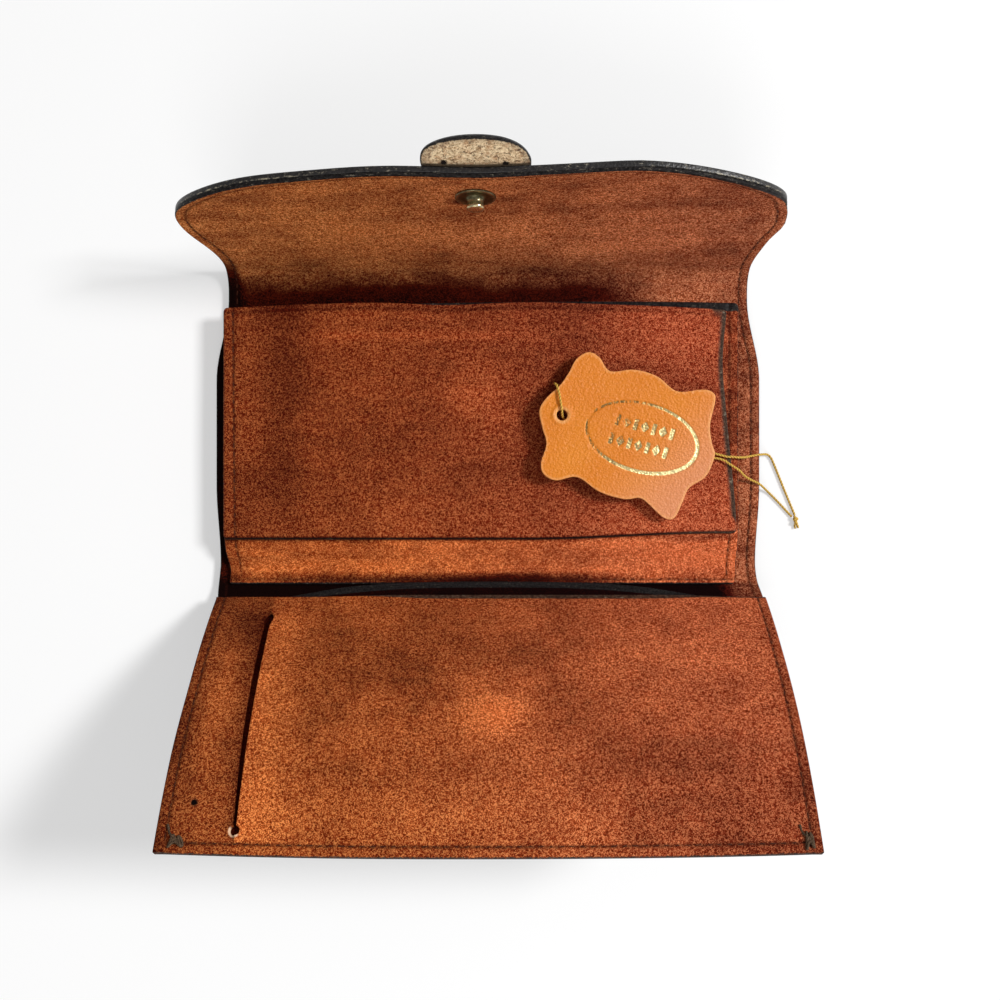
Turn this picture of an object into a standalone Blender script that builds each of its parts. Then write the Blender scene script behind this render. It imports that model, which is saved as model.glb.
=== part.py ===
"""A long leather wallet that lies open on its back.

X runs along the folds, Y from the front panel towards the flap, and Z up. The origin is on the ground
under the middle of the back panel. The wallet's sheets are flat patterns of points (x, s): s is the
distance along the bent outer face, measured over the back from the origin. Depth is measured from
that outer face inwards, so each sheet is the stretch between two depths.
"""

import math

import bmesh
import bpy
from mathutils import Matrix, Vector, geometry

# Sizes are in millimetres
MM = 0.001

CLEARANCE = 0.3

# Leather thicknesses
OUTER_THICKNESS = 1.5
LINING_THICKNESS = 0.9
BACKING_THICKNESS = 0.7
POCKET_SHEET_THICKNESS = 1.0
PAGE_SHEET_THICKNESS = 1.0
TAB_THICKNESS = 1.4
TAG_THICKNESS = 1.6

# Course of the outer face from the origin to the front panel's lip
LOWER_FLAT = 47.9
LOWER_FOLD_RADIUS = 12.0
LOWER_FOLD_ANGLE = math.radians(58.5)
FRONT_LENGTH = 92.0
FRONT_SAG = math.radians(26.7)

# Course of the outer face from the origin to the flap's tip
UPPER_FLAT = 53.8
UPPER_FOLD_RADIUS = 11.0
UPPER_FOLD_ANGLE = math.radians(76.0)
FLAP_STRAIGHT = 34.0
FLAP_CURL_LENGTH = 10.0
FLAP_CURL_ANGLE = math.radians(8.0)
FLAP_END = 21.5

# Side edges: the width is drawn in at both folds, the front panel sits a little to the right, and the
# flap a little to the left, with its right side longer
BACK_HALF_WIDTH = 95.2
LOWER_WAIST_CUT = 1.5
LOWER_WAIST_FROM_FOLD = 6.5
LOWER_WAIST_SHOULDER = 14.0
LOWER_WAIST_REACH = 27.0
UPPER_WAIST_CUT = 4.3
UPPER_WAIST_REACH = 28.0
UPPER_WAIST_FROM_FOLD = 3.0
FLAP_FLARE = 4.8
FLAP_FLARE_LENGTH = 34.0
FLAP_FLARE_FROM_FOLD = 1.0
FRONT_SHIFT = 1.2
FLAP_SHIFT = 1.6
FLAP_SLANT = 0.045
LIP_CORNER_RADIUS = 1.0
TIP_HEIGHT = 31.0
TIP_FLAT_HALF_WIDTH = 20.0

# Front pocket
POCKET_EDGE_PAST_FOLD = 2.5
BACKING_ARCH_BELOW_FOLD = 2.85
BACKING_ARCH_HALF_WIDTH = 80.0
SLIT_FROM_EDGE = 20.6
SLIT_SLANT = 1.8
SLIT_TOP = 10.0
SLIT_LENGTH = 76.6
SLIT_OPENING = 1.6
SLIT_NECK = 0.35
SLIT_HOLE_RADIUS = 1.35
AWL_HOLE_FROM_EDGE = 9.6
AWL_HOLE_FROM_TOP = 80.2
AWL_HOLE_RADIUS = 0.8

# Page: two sheets that stand off the lining and are sewn to it along the bottom
PAGE_LEFT_MARGIN = 4.2
PAGE_BACK_RIGHT_MARGIN = 8.0
PAGE_FRONT_RIGHT_MARGIN = 11.7
PAGE_PAST_LOWER_FOLD = 1.0
PAGE_SEAM_WIDTH = 4.0
PAGE_LIFT = 4.6
PAGE_LIFT_RUN = 15.0
PAGE_BACK_TOP = 99.2
PAGE_BACK_TOP_X = 40.0
PAGE_BACK_TOP_FALL = 1.5
PAGE_FRONT_TOP = 98.9
PAGE_FRONT_TOP_X = -10.0
PAGE_FRONT_TOP_FALL = 2.5
PAGE_TOP_REACH = 90.0
PAGE_STRIP = 17.1
PAGE_FRONT_FLARE = 2.8
PAGE_FRONT_FLARE_HEIGHT = 44.0
PAGE_CORNER_RADIUS = 1.5

# Press stud
STUD_X = -1.2
STUD_FROM_TIP = 15.9
SOCKET_FROM_POCKET_EDGE = 53.0
FLANGE_RADIUS = 6.2
FLANGE_THICKNESS = 0.7
RIVET_RADIUS = 1.9
FLANGE_RIM = 0.2
STUD_NECK_RADIUS = 1.7
STUD_BALL_RADIUS = 2.4
STUD_BALL_HALF_HEIGHT = 1.1
STUD_HEIGHT = 5.3
CAP_HEIGHT = 2.4
CAP_RIM = 0.5
SOCKET_HEIGHT = 4.9
SOCKET_SHOULDER = 0.9
SOCKET_FLOOR = 0.6
SOCKET_BORE_RADIUS = 2.7
SOCKET_BORE_BEVEL = 0.4
EYELET_RADIUS = 5.4
SWELLING_RADIUS = 12.5

# Pull tab on the outside of the flap's tip
TAB_X = -0.7
TAB_HALF_WIDTH = 15.9
TAB_BELOW_TIP = 24.0
TAB_PAST_TIP = 9.6
TAB_FULLNESS = 0.8
TAB_STRAIGHT = 0.6
TAB_BEND_RADIUS = 5.0
TAB_BEND_ANGLE = math.radians(42.0)

# Loose tag: its outline, clockwise from the head, and how it leans on the thread
TAG_OUTLINE = [
    (17.9, 11.0), (20.4, 15.4), (24.9, 19.6), (28.0, 24.0), (30.6, 28.6), (34.7, 31.0), (38.5, 29.2),
    (42.2, 24.6), (50.4, 25.1), (58.2, 22.9), (65.2, 17.8), (74.0, 18.4), (77.6, 17.4), (78.4, 14.6),
    (76.6, 6.4), (77.2, 0.2), (78.2, -4.2), (75.2, -11.2), (69.4, -15.3), (67.0, -20.4), (64.2, -25.6),
    (60.6, -25.5), (55.8, -21.2), (52.4, -18.8), (46.7, -19.1), (38.4, -16.6), (30.9, -11.7),
    (23.6, -12.8), (19.4, -10.6), (18.5, -6.8), (20.3, -0.4), (18.9, 5.2),
]
TAG_HOLE = (25.7, 9.5)
TAG_HOLE_RADIUS = 1.85
TAG_RIGHT = 78.0
TAG_LEAN = 0.055

# Thread through the tag's hole and round its neck; both ends meet in the knot
THREAD_DIAMETER = 0.75
THREAD_ROUTE = [
    (109.0, -25.0, 0.45), (108.1, -22.8, 0.40), (105.2, -15.8, 0.40), (101.6, -6.9, 0.40),
    (100.4, -4.4, 0.42), (98.9, -3.3, 0.75), (95.6, -3.5, 3.45), (92.6, -4.0, 4.4), (90.2, -4.5, 6.4),
    (87.4, -4.7, 9.55), (84.4, -4.5, 10.5), (81.2, -4.1, 10.65), (66.0, 0.6, 10.6), (42.0, 10.2, 10.9),
    (33.0, 14.8, 12.2), (27.6, 18.2, 13.35), (25.2, 19.5, 13.45), (23.6, 20.1, 14.2), (23.3, 20.2, 15.3),
    (23.9, 19.3, 16.35), (24.6, 17.0, 16.75), (25.2, 13.6, 16.65), (25.6, 11.2, 16.35), (25.7, 10.1, 15.5),
    (25.9, 9.2, 14.3), (26.6, 8.2, 13.0), (28.6, 6.8, 12.0), (34.0, 4.6, 11.0), (48.0, 0.5, 10.6),
    (68.0, -3.8, 10.6), (77.6, -4.8, 10.6), (81.4, -5.6, 10.65), (84.0, -7.2, 10.5), (87.3, -9.2, 9.55),
    (89.8, -11.0, 6.4), (92.6, -12.4, 4.4), (95.6, -13.7, 3.45), (99.0, -16.2, 0.75),
    (102.6, -19.7, 0.40), (107.9, -25.4, 0.45),
]
THREAD_STEPS = 2
KNOT_PLACE = (109.2, -27.0, 1.0)
KNOT_SIZE = (1.1, 1.5, 0.9)

# Depths of the sheets below the outer face, and of the page above the lining
LINING_DEPTH = OUTER_THICKNESS + CLEARANCE
LINING_TOP = LINING_DEPTH + LINING_THICKNESS
BACKING_DEPTH = LINING_TOP + CLEARANCE
POCKET_DEPTH = BACKING_DEPTH + BACKING_THICKNESS + CLEARANCE
PAGE_DEPTH = LINING_TOP + CLEARANCE
PAGE_FRONT_DEPTH = PAGE_SHEET_THICKNESS + CLEARANCE
PAGE_TOP = PAGE_DEPTH + PAGE_LIFT + PAGE_FRONT_DEPTH + PAGE_SHEET_THICKNESS
TAG_REST = PAGE_TOP + THREAD_DIAMETER + 2 * CLEARANCE

# Runs of the outer face as (length, angle turned)
FRONT_RUNS = [
    (LOWER_FLAT, 0.0),
    (LOWER_FOLD_RADIUS * LOWER_FOLD_ANGLE, LOWER_FOLD_ANGLE),
    (FRONT_LENGTH, -FRONT_SAG),
]
FLAP_RUNS = [
    (UPPER_FLAT, 0.0),
    (UPPER_FOLD_RADIUS * UPPER_FOLD_ANGLE, UPPER_FOLD_ANGLE),
    (FLAP_STRAIGHT, 0.0),
    (FLAP_CURL_LENGTH, FLAP_CURL_ANGLE),
    (FLAP_END, 0.0),
]
LIP = -sum(length for length, _ in FRONT_RUNS)
TIP = sum(length for length, _ in FLAP_RUNS)
FRONT_START = LIP + FRONT_LENGTH
LOWER_FOLD_START = -LOWER_FLAT
PAGE_BOTTOM = LOWER_FOLD_START - PAGE_PAST_LOWER_FOLD
UPPER_FOLD_END = UPPER_FLAT + UPPER_FOLD_RADIUS * UPPER_FOLD_ANGLE
CURL_START = UPPER_FOLD_END + FLAP_STRAIGHT
CURL_END = CURL_START + FLAP_CURL_LENGTH
LOWER_WAIST = LOWER_FOLD_START + LOWER_WAIST_FROM_FOLD
UPPER_WAIST = UPPER_FLAT - UPPER_WAIST_FROM_FOLD
FLARE_START = UPPER_FOLD_END + FLAP_FLARE_FROM_FOLD
FLARE_END = FLARE_START + FLAP_FLARE_LENGTH
POCKET_EDGE = FRONT_START + POCKET_EDGE_PAST_FOLD
BACKING_ARCH_RISE = LOWER_FOLD_START - BACKING_ARCH_BELOW_FOLD - POCKET_EDGE
STUD_S = TIP - STUD_FROM_TIP
SOCKET_S = POCKET_EDGE - SOCKET_FROM_POCKET_EDGE
PAGE_LEFT = PAGE_LEFT_MARGIN - BACK_HALF_WIDTH
PAGE_BACK_RIGHT = BACK_HALF_WIDTH - PAGE_BACK_RIGHT_MARGIN
PAGE_FRONT_RIGHT = BACK_HALF_WIDTH - PAGE_FRONT_RIGHT_MARGIN

# The page's run is an S of two equal arcs that lifts it off the lining
PAGE_LIFT_ANGLE = 2 * math.atan2(PAGE_LIFT, PAGE_LIFT_RUN)
PAGE_ARC_LENGTH = PAGE_LIFT_RUN / (2 * math.sin(PAGE_LIFT_ANGLE)) * PAGE_LIFT_ANGLE
PAGE_RUNS = [
    (PAGE_SEAM_WIDTH, 0.0),
    (PAGE_ARC_LENGTH, PAGE_LIFT_ANGLE),
    (PAGE_ARC_LENGTH, -PAGE_LIFT_ANGLE),
    (PAGE_BACK_TOP, 0.0),
]


def smooth_step(value, start, end):
    """0 before start, 1 after end, and an even S between them."""
    share = min(max((value - start) / (end - start), 0.0), 1.0)
    return share * share * (3.0 - 2.0 * share)


def spread(start, end, steps):
    return [start + (end - start) * step / steps for step in range(steps + 1)]


def walk(runs, distance, place=(0.0, 0.0), heading=0.0):
    """The point and the heading after a distance along straight and arc runs in one plane."""
    along, up = place
    for length, turn in runs:
        step = min(length, distance)
        swing = turn * step / length
        chord = step if turn == 0.0 else 2.0 * length / turn * math.sin(swing / 2.0)
        along += chord * math.cos(heading + swing / 2.0)
        up += chord * math.sin(heading + swing / 2.0)
        heading += swing
        distance -= step
    return along, up, heading


def body_place(x, s, depth):
    """A point of the bent wallet from its flat pattern."""
    x += FRONT_SHIFT * smooth_step(-s, LOWER_FLAT - POCKET_EDGE_PAST_FOLD, -FRONT_START)
    side = 1.0 if s >= 0.0 else -1.0
    along, up, heading = walk(FLAP_RUNS if s >= 0.0 else FRONT_RUNS, abs(s))
    return Vector((x, side * (along - depth * math.sin(heading)), up + depth * math.cos(heading)))


def swollen_place(x, s, depth):
    """The same, raised over the socket's eyelet and easing down around it."""
    reach = math.hypot(x - STUD_X, s - SOCKET_S)
    fall = smooth_step(reach, EYELET_RADIUS + CLEARANCE, SWELLING_RADIUS)
    return body_place(x, s, depth + (FLANGE_THICKNESS + CLEARANCE) * (1.0 - fall))


def page_place(x, s, depth):
    """A point of the page, with s from its bottom edge."""
    along, up, heading = walk(PAGE_RUNS, s, (PAGE_BOTTOM, PAGE_DEPTH))
    return Vector((x, along - depth * math.sin(heading), up + depth * math.cos(heading)))


def tab_place(x, s, depth):
    """A point of the pull tab, with s from the flap's tip and depth outwards from the flap."""
    x, s = askew((x, TIP + s))
    s -= TIP
    if s <= 0.0:
        return body_place(x, TIP + s, -CLEARANCE - depth)
    start = body_place(x, TIP, -CLEARANCE)
    bend = TAB_BEND_RADIUS * TAB_BEND_ANGLE
    runs = [(TAB_STRAIGHT, 0.0), (bend, -TAB_BEND_ANGLE), (TAB_PAST_TIP, 0.0)]
    along, up, heading = walk(runs, s, (start.y, start.z), UPPER_FOLD_ANGLE + FLAP_CURL_ANGLE)
    return Vector((x, along + depth * math.sin(heading), up - depth * math.cos(heading)))


def tag_place(x, y, depth):
    """A point of the leaning tag, with depth upwards from its underside."""
    return Vector((x, y, TAG_REST + (TAG_RIGHT - x) * TAG_LEAN + depth))


def half_width(s):
    """Half the wallet's width: drawn in at both folds and flared towards the flap's tip."""
    reach = LOWER_WAIST_SHOULDER if s < LOWER_WAIST else LOWER_WAIST_REACH
    width = BACK_HALF_WIDTH - LOWER_WAIST_CUT * (1.0 - smooth_step(abs(s - LOWER_WAIST), 0.0, reach))
    width -= UPPER_WAIST_CUT * smooth_step(s, UPPER_WAIST - UPPER_WAIST_REACH, UPPER_WAIST)
    return width + FLAP_FLARE * smooth_step(s, FLARE_START, FLARE_END)


def askew(point):
    """A pattern point of the flap, moved to the left and slanted up to the right."""
    x, s = point
    share = smooth_step(s, UPPER_FOLD_END, UPPER_FOLD_END + FLAP_FLARE_LENGTH)
    return x - FLAP_SHIFT * share, s + FLAP_SLANT * share * x


def stud_point():
    return askew((STUD_X, STUD_S))


def arc_point(center, radius, angle):
    return center[0] + radius * math.cos(angle), center[1] + radius * math.sin(angle)


def circle(center, radius, steps=24):
    return [arc_point(center, radius, a) for a in spread(0.0, 2 * math.pi, steps)[:-1]]


def smooth_loop(points, steps):
    """A closed Catmull-Rom curve through the points."""
    count = len(points)
    curve = []
    for index in range(count):
        before, start, end, after = (Vector(points[(index + k) % count]) for k in (-1, 0, 1, 2))
        for step in range(steps):
            curve.append(tuple(catmull_rom(before, start, end, after, step / steps)))
    return curve


def smooth_route(points, steps):
    """An open Catmull-Rom curve through the points."""
    points = [Vector(point) for point in points]
    points = [2 * points[0] - points[1], *points, 2 * points[-1] - points[-2]]
    curve = []
    for before, start, end, after in zip(points, points[1:], points[2:], points[3:]):
        curve += [catmull_rom(before, start, end, after, step / steps) for step in range(steps)]
    return [*curve, points[-2]]


def catmull_rom(before, start, end, after, share):
    return start + 0.5 * share * (
        end - before
        + share * (2 * before - 5 * start + 4 * end - after + share * (3 * start - before - 3 * end + after))
    )


def is_inside(point, loop):
    """Whether an even-odd count of crossings puts the point inside the loop."""
    inside = False
    for (x0, y0), (x1, y1) in zip(loop, loop[1:] + loop[:1]):
        if (y0 > point[1]) != (y1 > point[1]) and point[0] < x0 + (x1 - x0) * (point[1] - y0) / (y1 - y0):
            inside = not inside
    return inside


def add_material(name, color, roughness, metallic=0.0):
    """A Principled material from a display colour of 0 to 255."""
    material = bpy.data.materials.new(name)
    material.use_nodes = True
    shader = material.node_tree.nodes["Principled BSDF"]
    linear = [((value / 255 + 0.055) / 1.055) ** 2.4 for value in color]
    shader.inputs["Base Color"].default_value = (*linear, 1.0)
    shader.inputs["Roughness"].default_value = roughness
    shader.inputs["Metallic"].default_value = metallic
    material.diffuse_color = (*linear, 1.0)
    return material


def add_object(name, bm, material, matrix=None):
    """Turns a mesh in millimetres into an object in metres with outward faces."""
    bmesh.ops.recalc_face_normals(bm, faces=bm.faces)
    bmesh.ops.scale(bm, vec=(MM, MM, MM), verts=bm.verts)
    mesh = bpy.data.meshes.new(name)
    bm.to_mesh(mesh)
    bm.free()
    mesh.materials.append(material)
    obj = bpy.data.objects.new(name, mesh)
    if matrix is not None:
        obj.matrix_world = Matrix.Translation(matrix.translation * MM) @ matrix.to_3x3().to_4x4()
    bpy.context.scene.collection.objects.link(obj)
    return obj


def add_sheet(name, material, place, depths, outline, holes=(), folds=(), points=()):
    """A closed sheet of leather from its flat pattern, bent by place between two depths.

    The pattern's triangles keep every fold line as an edge, so the bend follows the folds.
    """
    loops = [outline, *holes]
    flat = [Vector(point) for loop in loops for point in loop]
    edges = []
    first = 0
    for loop in loops:
        edges += [(first + index, first + (index + 1) % len(loop)) for index in range(len(loop))]
        first += len(loop)
    for left, right in folds:
        edges.append((len(flat), len(flat) + 1))
        flat += [Vector(left), Vector(right)]
    flat += [Vector(point) for point in points]
    flat, _, triangles, *_ = geometry.delaunay_2d_cdt(flat, edges, [], 1, 1e-4)
    bm = bmesh.new()
    sides = [[bm.verts.new(place(point.x, point.y, depth)) for point in flat] for depth in depths]
    for triangle in triangles:
        middle = sum((flat[index] for index in triangle), Vector((0.0, 0.0))) / 3
        if any(is_inside(middle, hole) for hole in holes):
            continue
        for side in sides:
            bm.faces.new([side[index] for index in triangle])
    low = set(sides[0])
    rim = [edge for edge in bm.edges if edge.is_boundary and edge.verts[0] in low]
    partner = dict(zip(*sides))
    for edge in rim:
        start, end = edge.verts
        bm.faces.new([start, end, partner[end], partner[start]])
    bmesh.ops.delete(bm, geom=[vert for vert in bm.verts if not vert.link_faces], context="VERTS")
    return add_object(name, bm, material)


def add_turned(name, material, profile, matrix, steps=32):
    """A solid of revolution from (radius, height) points that start and end on the axis."""
    bm = bmesh.new()
    verts = [bm.verts.new((radius, 0.0, height)) for radius, height in profile]
    edges = [bm.edges.new(pair) for pair in zip(verts, verts[1:])]
    bmesh.ops.spin(
        bm, geom=verts + edges, cent=(0, 0, 0), axis=(0, 0, 1), angle=2 * math.pi, steps=steps, use_merge=True
    )
    bmesh.ops.remove_doubles(bm, verts=bm.verts, dist=1e-4)
    obj = add_object(name, bm, material, matrix)
    obj.data.shade_smooth()
    obj.data.set_sharp_from_angle(angle=math.radians(35))
    return obj


def round_edge(radius, low, high, steps=4):
    """Profile points of a quarter round from (radius, low) up and in towards height high."""
    size = high - low
    angles = spread(0.0, math.pi / 2, steps)
    return [(radius - size + size * math.cos(a), low + size * math.sin(a)) for a in angles]


def fittings_axis(place):
    """A frame on the outer face at a pattern point, with its Z pointing into the wallet."""
    origin = body_place(*place, 0.0)
    inward = (body_place(*place, 1.0) - origin).normalized()
    across = Vector((1.0, 0.0, 0.0))
    frame = Matrix((across, inward.cross(across), inward)).transposed().to_4x4()
    frame.translation = origin
    return frame


def fold_stations(start, end):
    """Stations in steps of a few degrees wherever the sheets are bent."""
    lower = spread(LOWER_FOLD_START, FRONT_START, 10) + spread(FRONT_START, LIP, 10)[1:]
    upper = spread(UPPER_FLAT, UPPER_FOLD_END, 12) + spread(CURL_START, CURL_END, 3)
    return sorted(s for s in lower + upper if start < s < end)


def side_stations(start, end):
    """The fold stations, and those where only the side edges curve."""
    waists = spread(LOWER_FOLD_START, LOWER_WAIST + LOWER_WAIST_REACH, 8)[1:]
    waists += spread(UPPER_WAIST - UPPER_WAIST_REACH, UPPER_WAIST, 8)
    waists += spread(FLARE_START, FLARE_END, 9)
    return sorted(fold_stations(start, end) + [s for s in waists if start < s < end])


def lip_corner():
    """The right corner at the lip: a quarter round."""
    center = half_width(LIP) - LIP_CORNER_RADIUS, LIP + LIP_CORNER_RADIUS
    angles = spread(-math.pi / 2, 0.0, 4)
    return [arc_point(center, LIP_CORNER_RADIUS, a) for a in angles]


def body_outline():
    """The wallet's flat outline: square corners at the lip, and a tip of two quarter ellipses and a flat."""
    shoulder = TIP - TIP_HEIGHT
    right = lip_corner() + [(half_width(s), s) for s in side_stations(LIP + LIP_CORNER_RADIUS, shoulder)]
    sweep = half_width(shoulder) - TIP_FLAT_HALF_WIDTH
    for a in spread(0.0, math.pi / 2, 14):
        right.append((TIP_FLAT_HALF_WIDTH + sweep * math.cos(a), shoulder + TIP_HEIGHT * math.sin(a)))
    return [askew(point) for point in right + [(-x, s) for x, s in reversed(right)]]


def cross_folds(start, end):
    """Fold lines across the sheet. Where the flap is askew they stop short of its edges."""
    lines = []
    for s in fold_stations(start, end):
        half = half_width(s) - (FLAP_CURL_LENGTH if s > UPPER_FOLD_END else 0.0)
        lines.append(((-half, s), (half, s)))
    return lines


def broken_folds(start, end):
    """The same lines, left open where the sheet swells over the eyelet."""
    lines = []
    for left, right in cross_folds(start, end):
        gap = SWELLING_RADIUS**2 - (left[1] - SOCKET_S) ** 2
        if gap <= 0.0:
            lines.append((left, right))
            continue
        lines.append((left, (STUD_X - math.sqrt(gap), left[1])))
        lines.append(((STUD_X + math.sqrt(gap), right[1]), right))
    return lines


def panel_outline(top_edge):
    """The outline of a front-panel sheet: the lip's corners, the sides, and its own top edge."""
    right = lip_corner() + [(half_width(s), s) for s in side_stations(LIP + LIP_CORNER_RADIUS, POCKET_EDGE)]
    return right + top_edge + [(-x, s) for x, s in reversed(right)]


def backing_edge():
    """The backing sheet's arched top edge, from right to left."""
    half = half_width(POCKET_EDGE)
    arch = [
        (share * BACKING_ARCH_HALF_WIDTH, POCKET_EDGE + BACKING_ARCH_RISE * (1.0 - share * share))
        for share in spread(1.0, -1.0, 16)
    ]
    return [(half, POCKET_EDGE), *arch, (-half, POCKET_EDGE)]


def slit_loop():
    """The slit's edge: two bowed sides that start in a point and end in the punched hole."""
    left = SLIT_FROM_EDGE - half_width(SOCKET_S)
    top = POCKET_EDGE - SLIT_TOP
    shares = spread(0.0, 1.0, 14)
    gaps = [0.5 * SLIT_OPENING * math.sin(math.pi * share) + SLIT_NECK * share for share in shares]
    middle = [(left + SLIT_SLANT * share, top - SLIT_LENGTH * share) for share in shares]
    right = [(x + gap, s) for (x, s), gap in zip(middle, gaps)]
    back = [(x - gap, s) for (x, s), gap in zip(middle, gaps)][:0:-1]
    neck = math.asin(SLIT_NECK / SLIT_HOLE_RADIUS)
    center = left + SLIT_SLANT, top - SLIT_LENGTH - SLIT_HOLE_RADIUS * math.cos(neck)
    angles = spread(0.5 * math.pi - neck, neck - 1.5 * math.pi, 16)[1:-1]
    return right + [arc_point(center, SLIT_HOLE_RADIUS, a) for a in angles] + back


def swelling_points():
    """Rings of points that let a sheet bend over the socket's eyelet."""
    radii = spread(EYELET_RADIUS + CLEARANCE, SWELLING_RADIUS, 4)
    rings = [circle((STUD_X, SOCKET_S), radius) for radius in radii]
    return [(STUD_X, SOCKET_S)] + [point for ring in rings for point in ring]


def page_outline(right, start, top, top_x, fall, flare=0.0):
    """A page sheet's outline with small round corners. Its arched top edge is highest at top_x.

    Its right side moves out towards the foot, by flare in all.
    """
    corners = [(right, top), (PAGE_LEFT, top), (PAGE_LEFT, start), (right, start)]
    loop = []
    for quarter, (x, s) in enumerate(corners):
        center_x = x - math.copysign(PAGE_CORNER_RADIUS, x)
        center_s = s - math.copysign(PAGE_CORNER_RADIUS, s - 0.5 * (start + top))
        angles = spread(0.5 * math.pi * quarter, 0.5 * math.pi * (quarter + 1), 4)
        loop += [arc_point((center_x, center_s), PAGE_CORNER_RADIUS, a) for a in angles]
        if quarter == 0:
            loop += [(x, top) for x in spread(right, PAGE_LEFT, 16)[1:-1]]
        if quarter == 1:
            loop += [(PAGE_LEFT, s) for s in reversed(page_stations(start))]
    loop += [(right, s) for s in page_stations(start)]
    loop += [(right, s) for s in spread(start, start + PAGE_FRONT_FLARE_HEIGHT, 8)[1:]] if flare else []
    loop = [(x + flare * flare_share(x, s, right, start), s) for x, s in loop]
    middle = 0.5 * (start + top)
    return [(x, s - fall * ((x - top_x) / PAGE_TOP_REACH) ** 2 if s > middle else s) for x, s in loop]


def flare_share(x, s, right, start):
    """1 at the foot of a page sheet's right side, eased to 0 up that side and towards the middle."""
    rise = smooth_step(s, start, start + PAGE_FRONT_FLARE_HEIGHT)
    return max(x / right, 0.0) ** 2 * (1.0 - rise)


def page_stations(start):
    """Stations where the page lifts, above a sheet's bottom corners."""
    stations = spread(PAGE_SEAM_WIDTH, PAGE_SEAM_WIDTH + 2 * PAGE_ARC_LENGTH, 10)
    return [s for s in stations if s > start + PAGE_CORNER_RADIUS]


def page_folds(right, start, flare=0.0):
    stations = page_stations(start)
    return [((PAGE_LEFT, s), (right + flare * flare_share(right, s, right, start), s)) for s in stations]


def make_body_sheets(black, suede):
    holes = [circle(place, RIVET_RADIUS + CLEARANCE) for place in (stud_point(), (STUD_X, SOCKET_S))]
    folds = cross_folds(LIP, TIP)
    add_sheet("outer_leather", black, body_place, (0.0, OUTER_THICKNESS), body_outline(), holes, folds)
    add_sheet("lining", suede, body_place, (LINING_DEPTH, LINING_TOP), body_outline(), holes, folds)


def make_front_pocket(suede):
    folds = broken_folds(LIP + LIP_CORNER_RADIUS, POCKET_EDGE)
    add_sheet(
        "front_pocket_backing", suede, swollen_place, (BACKING_DEPTH, BACKING_DEPTH + BACKING_THICKNESS),
        panel_outline(backing_edge()), folds=folds, points=swelling_points(),
    )
    half = half_width(POCKET_EDGE)
    awl_hole = (AWL_HOLE_FROM_EDGE - half_width(SOCKET_S), POCKET_EDGE - AWL_HOLE_FROM_TOP)
    add_sheet(
        "front_pocket_sheet", suede, swollen_place, (POCKET_DEPTH, POCKET_DEPTH + POCKET_SHEET_THICKNESS),
        panel_outline([(half, POCKET_EDGE), (-half, POCKET_EDGE)]),
        [slit_loop(), circle(awl_hole, AWL_HOLE_RADIUS, 12)], folds, swelling_points(),
    )


def make_page(suede):
    back = page_outline(PAGE_BACK_RIGHT, 0.0, PAGE_BACK_TOP, PAGE_BACK_TOP_X, PAGE_BACK_TOP_FALL)
    arch = (PAGE_FRONT_TOP, PAGE_FRONT_TOP_X, PAGE_FRONT_TOP_FALL)
    front = page_outline(PAGE_FRONT_RIGHT, PAGE_STRIP, *arch, PAGE_FRONT_FLARE)
    depths = (PAGE_FRONT_DEPTH, PAGE_FRONT_DEPTH + PAGE_SHEET_THICKNESS)
    folds = page_folds(PAGE_BACK_RIGHT, 0.0)
    add_sheet("page_back_sheet", suede, page_place, (0.0, PAGE_SHEET_THICKNESS), back, folds=folds)
    folds = page_folds(PAGE_FRONT_RIGHT, PAGE_STRIP, PAGE_FRONT_FLARE)
    add_sheet("page_front_sheet", suede, page_place, depths, front, folds=folds)


def make_pull_tab(tan):
    """The tab's two ends are rounded, the one past the flap's tip more fully."""
    rounded = [(TAB_HALF_WIDTH * math.cos(a), math.sin(a)) for a in spread(0.0, math.pi, 24)]
    past = [(TAB_X + x, TAB_PAST_TIP * rise**TAB_FULLNESS) for x, rise in rounded]
    below = [(TAB_X - x, -TAB_BELOW_TIP + TAB_HALF_WIDTH * (1.0 - rise)) for x, rise in rounded]
    hole = circle((STUD_X, -STUD_FROM_TIP), RIVET_RADIUS + CLEARANCE)
    bend_end = TAB_STRAIGHT + TAB_BEND_RADIUS * TAB_BEND_ANGLE
    square_end = TAB_HALF_WIDTH - TAB_BELOW_TIP
    curl = [s - TIP for s in spread(CURL_START, CURL_END, 4) if s - TIP > square_end]
    folds = []
    for s in [*curl, 0.0, *spread(TAB_STRAIGHT, bend_end, 5)]:
        share = (max(s, 0.0) / TAB_PAST_TIP) ** (2.0 / TAB_FULLNESS)
        half = TAB_HALF_WIDTH * math.sqrt(1.0 - share) - 0.3 * CLEARANCE
        folds.append(((TAB_X - half, s), (TAB_X + half, s)))
    add_sheet("pull_tab", tan, tab_place, (0.0, TAB_THICKNESS), past + below, [hole], folds)


def snap_cap_profile():
    """A domed cap on the tab, with the rivet that goes through tab and flap."""
    face = -2 * CLEARANCE - TAB_THICKNESS
    rise = CAP_HEIGHT - CAP_RIM
    angles = spread(0.0, math.pi / 2, 8)
    dome = [(FLANGE_RADIUS * math.sin(a), face - CAP_RIM - rise * math.cos(a)) for a in angles]
    shaft = [(FLANGE_RADIUS, face), (RIVET_RADIUS, face), (RIVET_RADIUS, LINING_TOP), (0.0, LINING_TOP)]
    return [(0.0, dome[0][1]), *dome[1:], *shaft]


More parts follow.
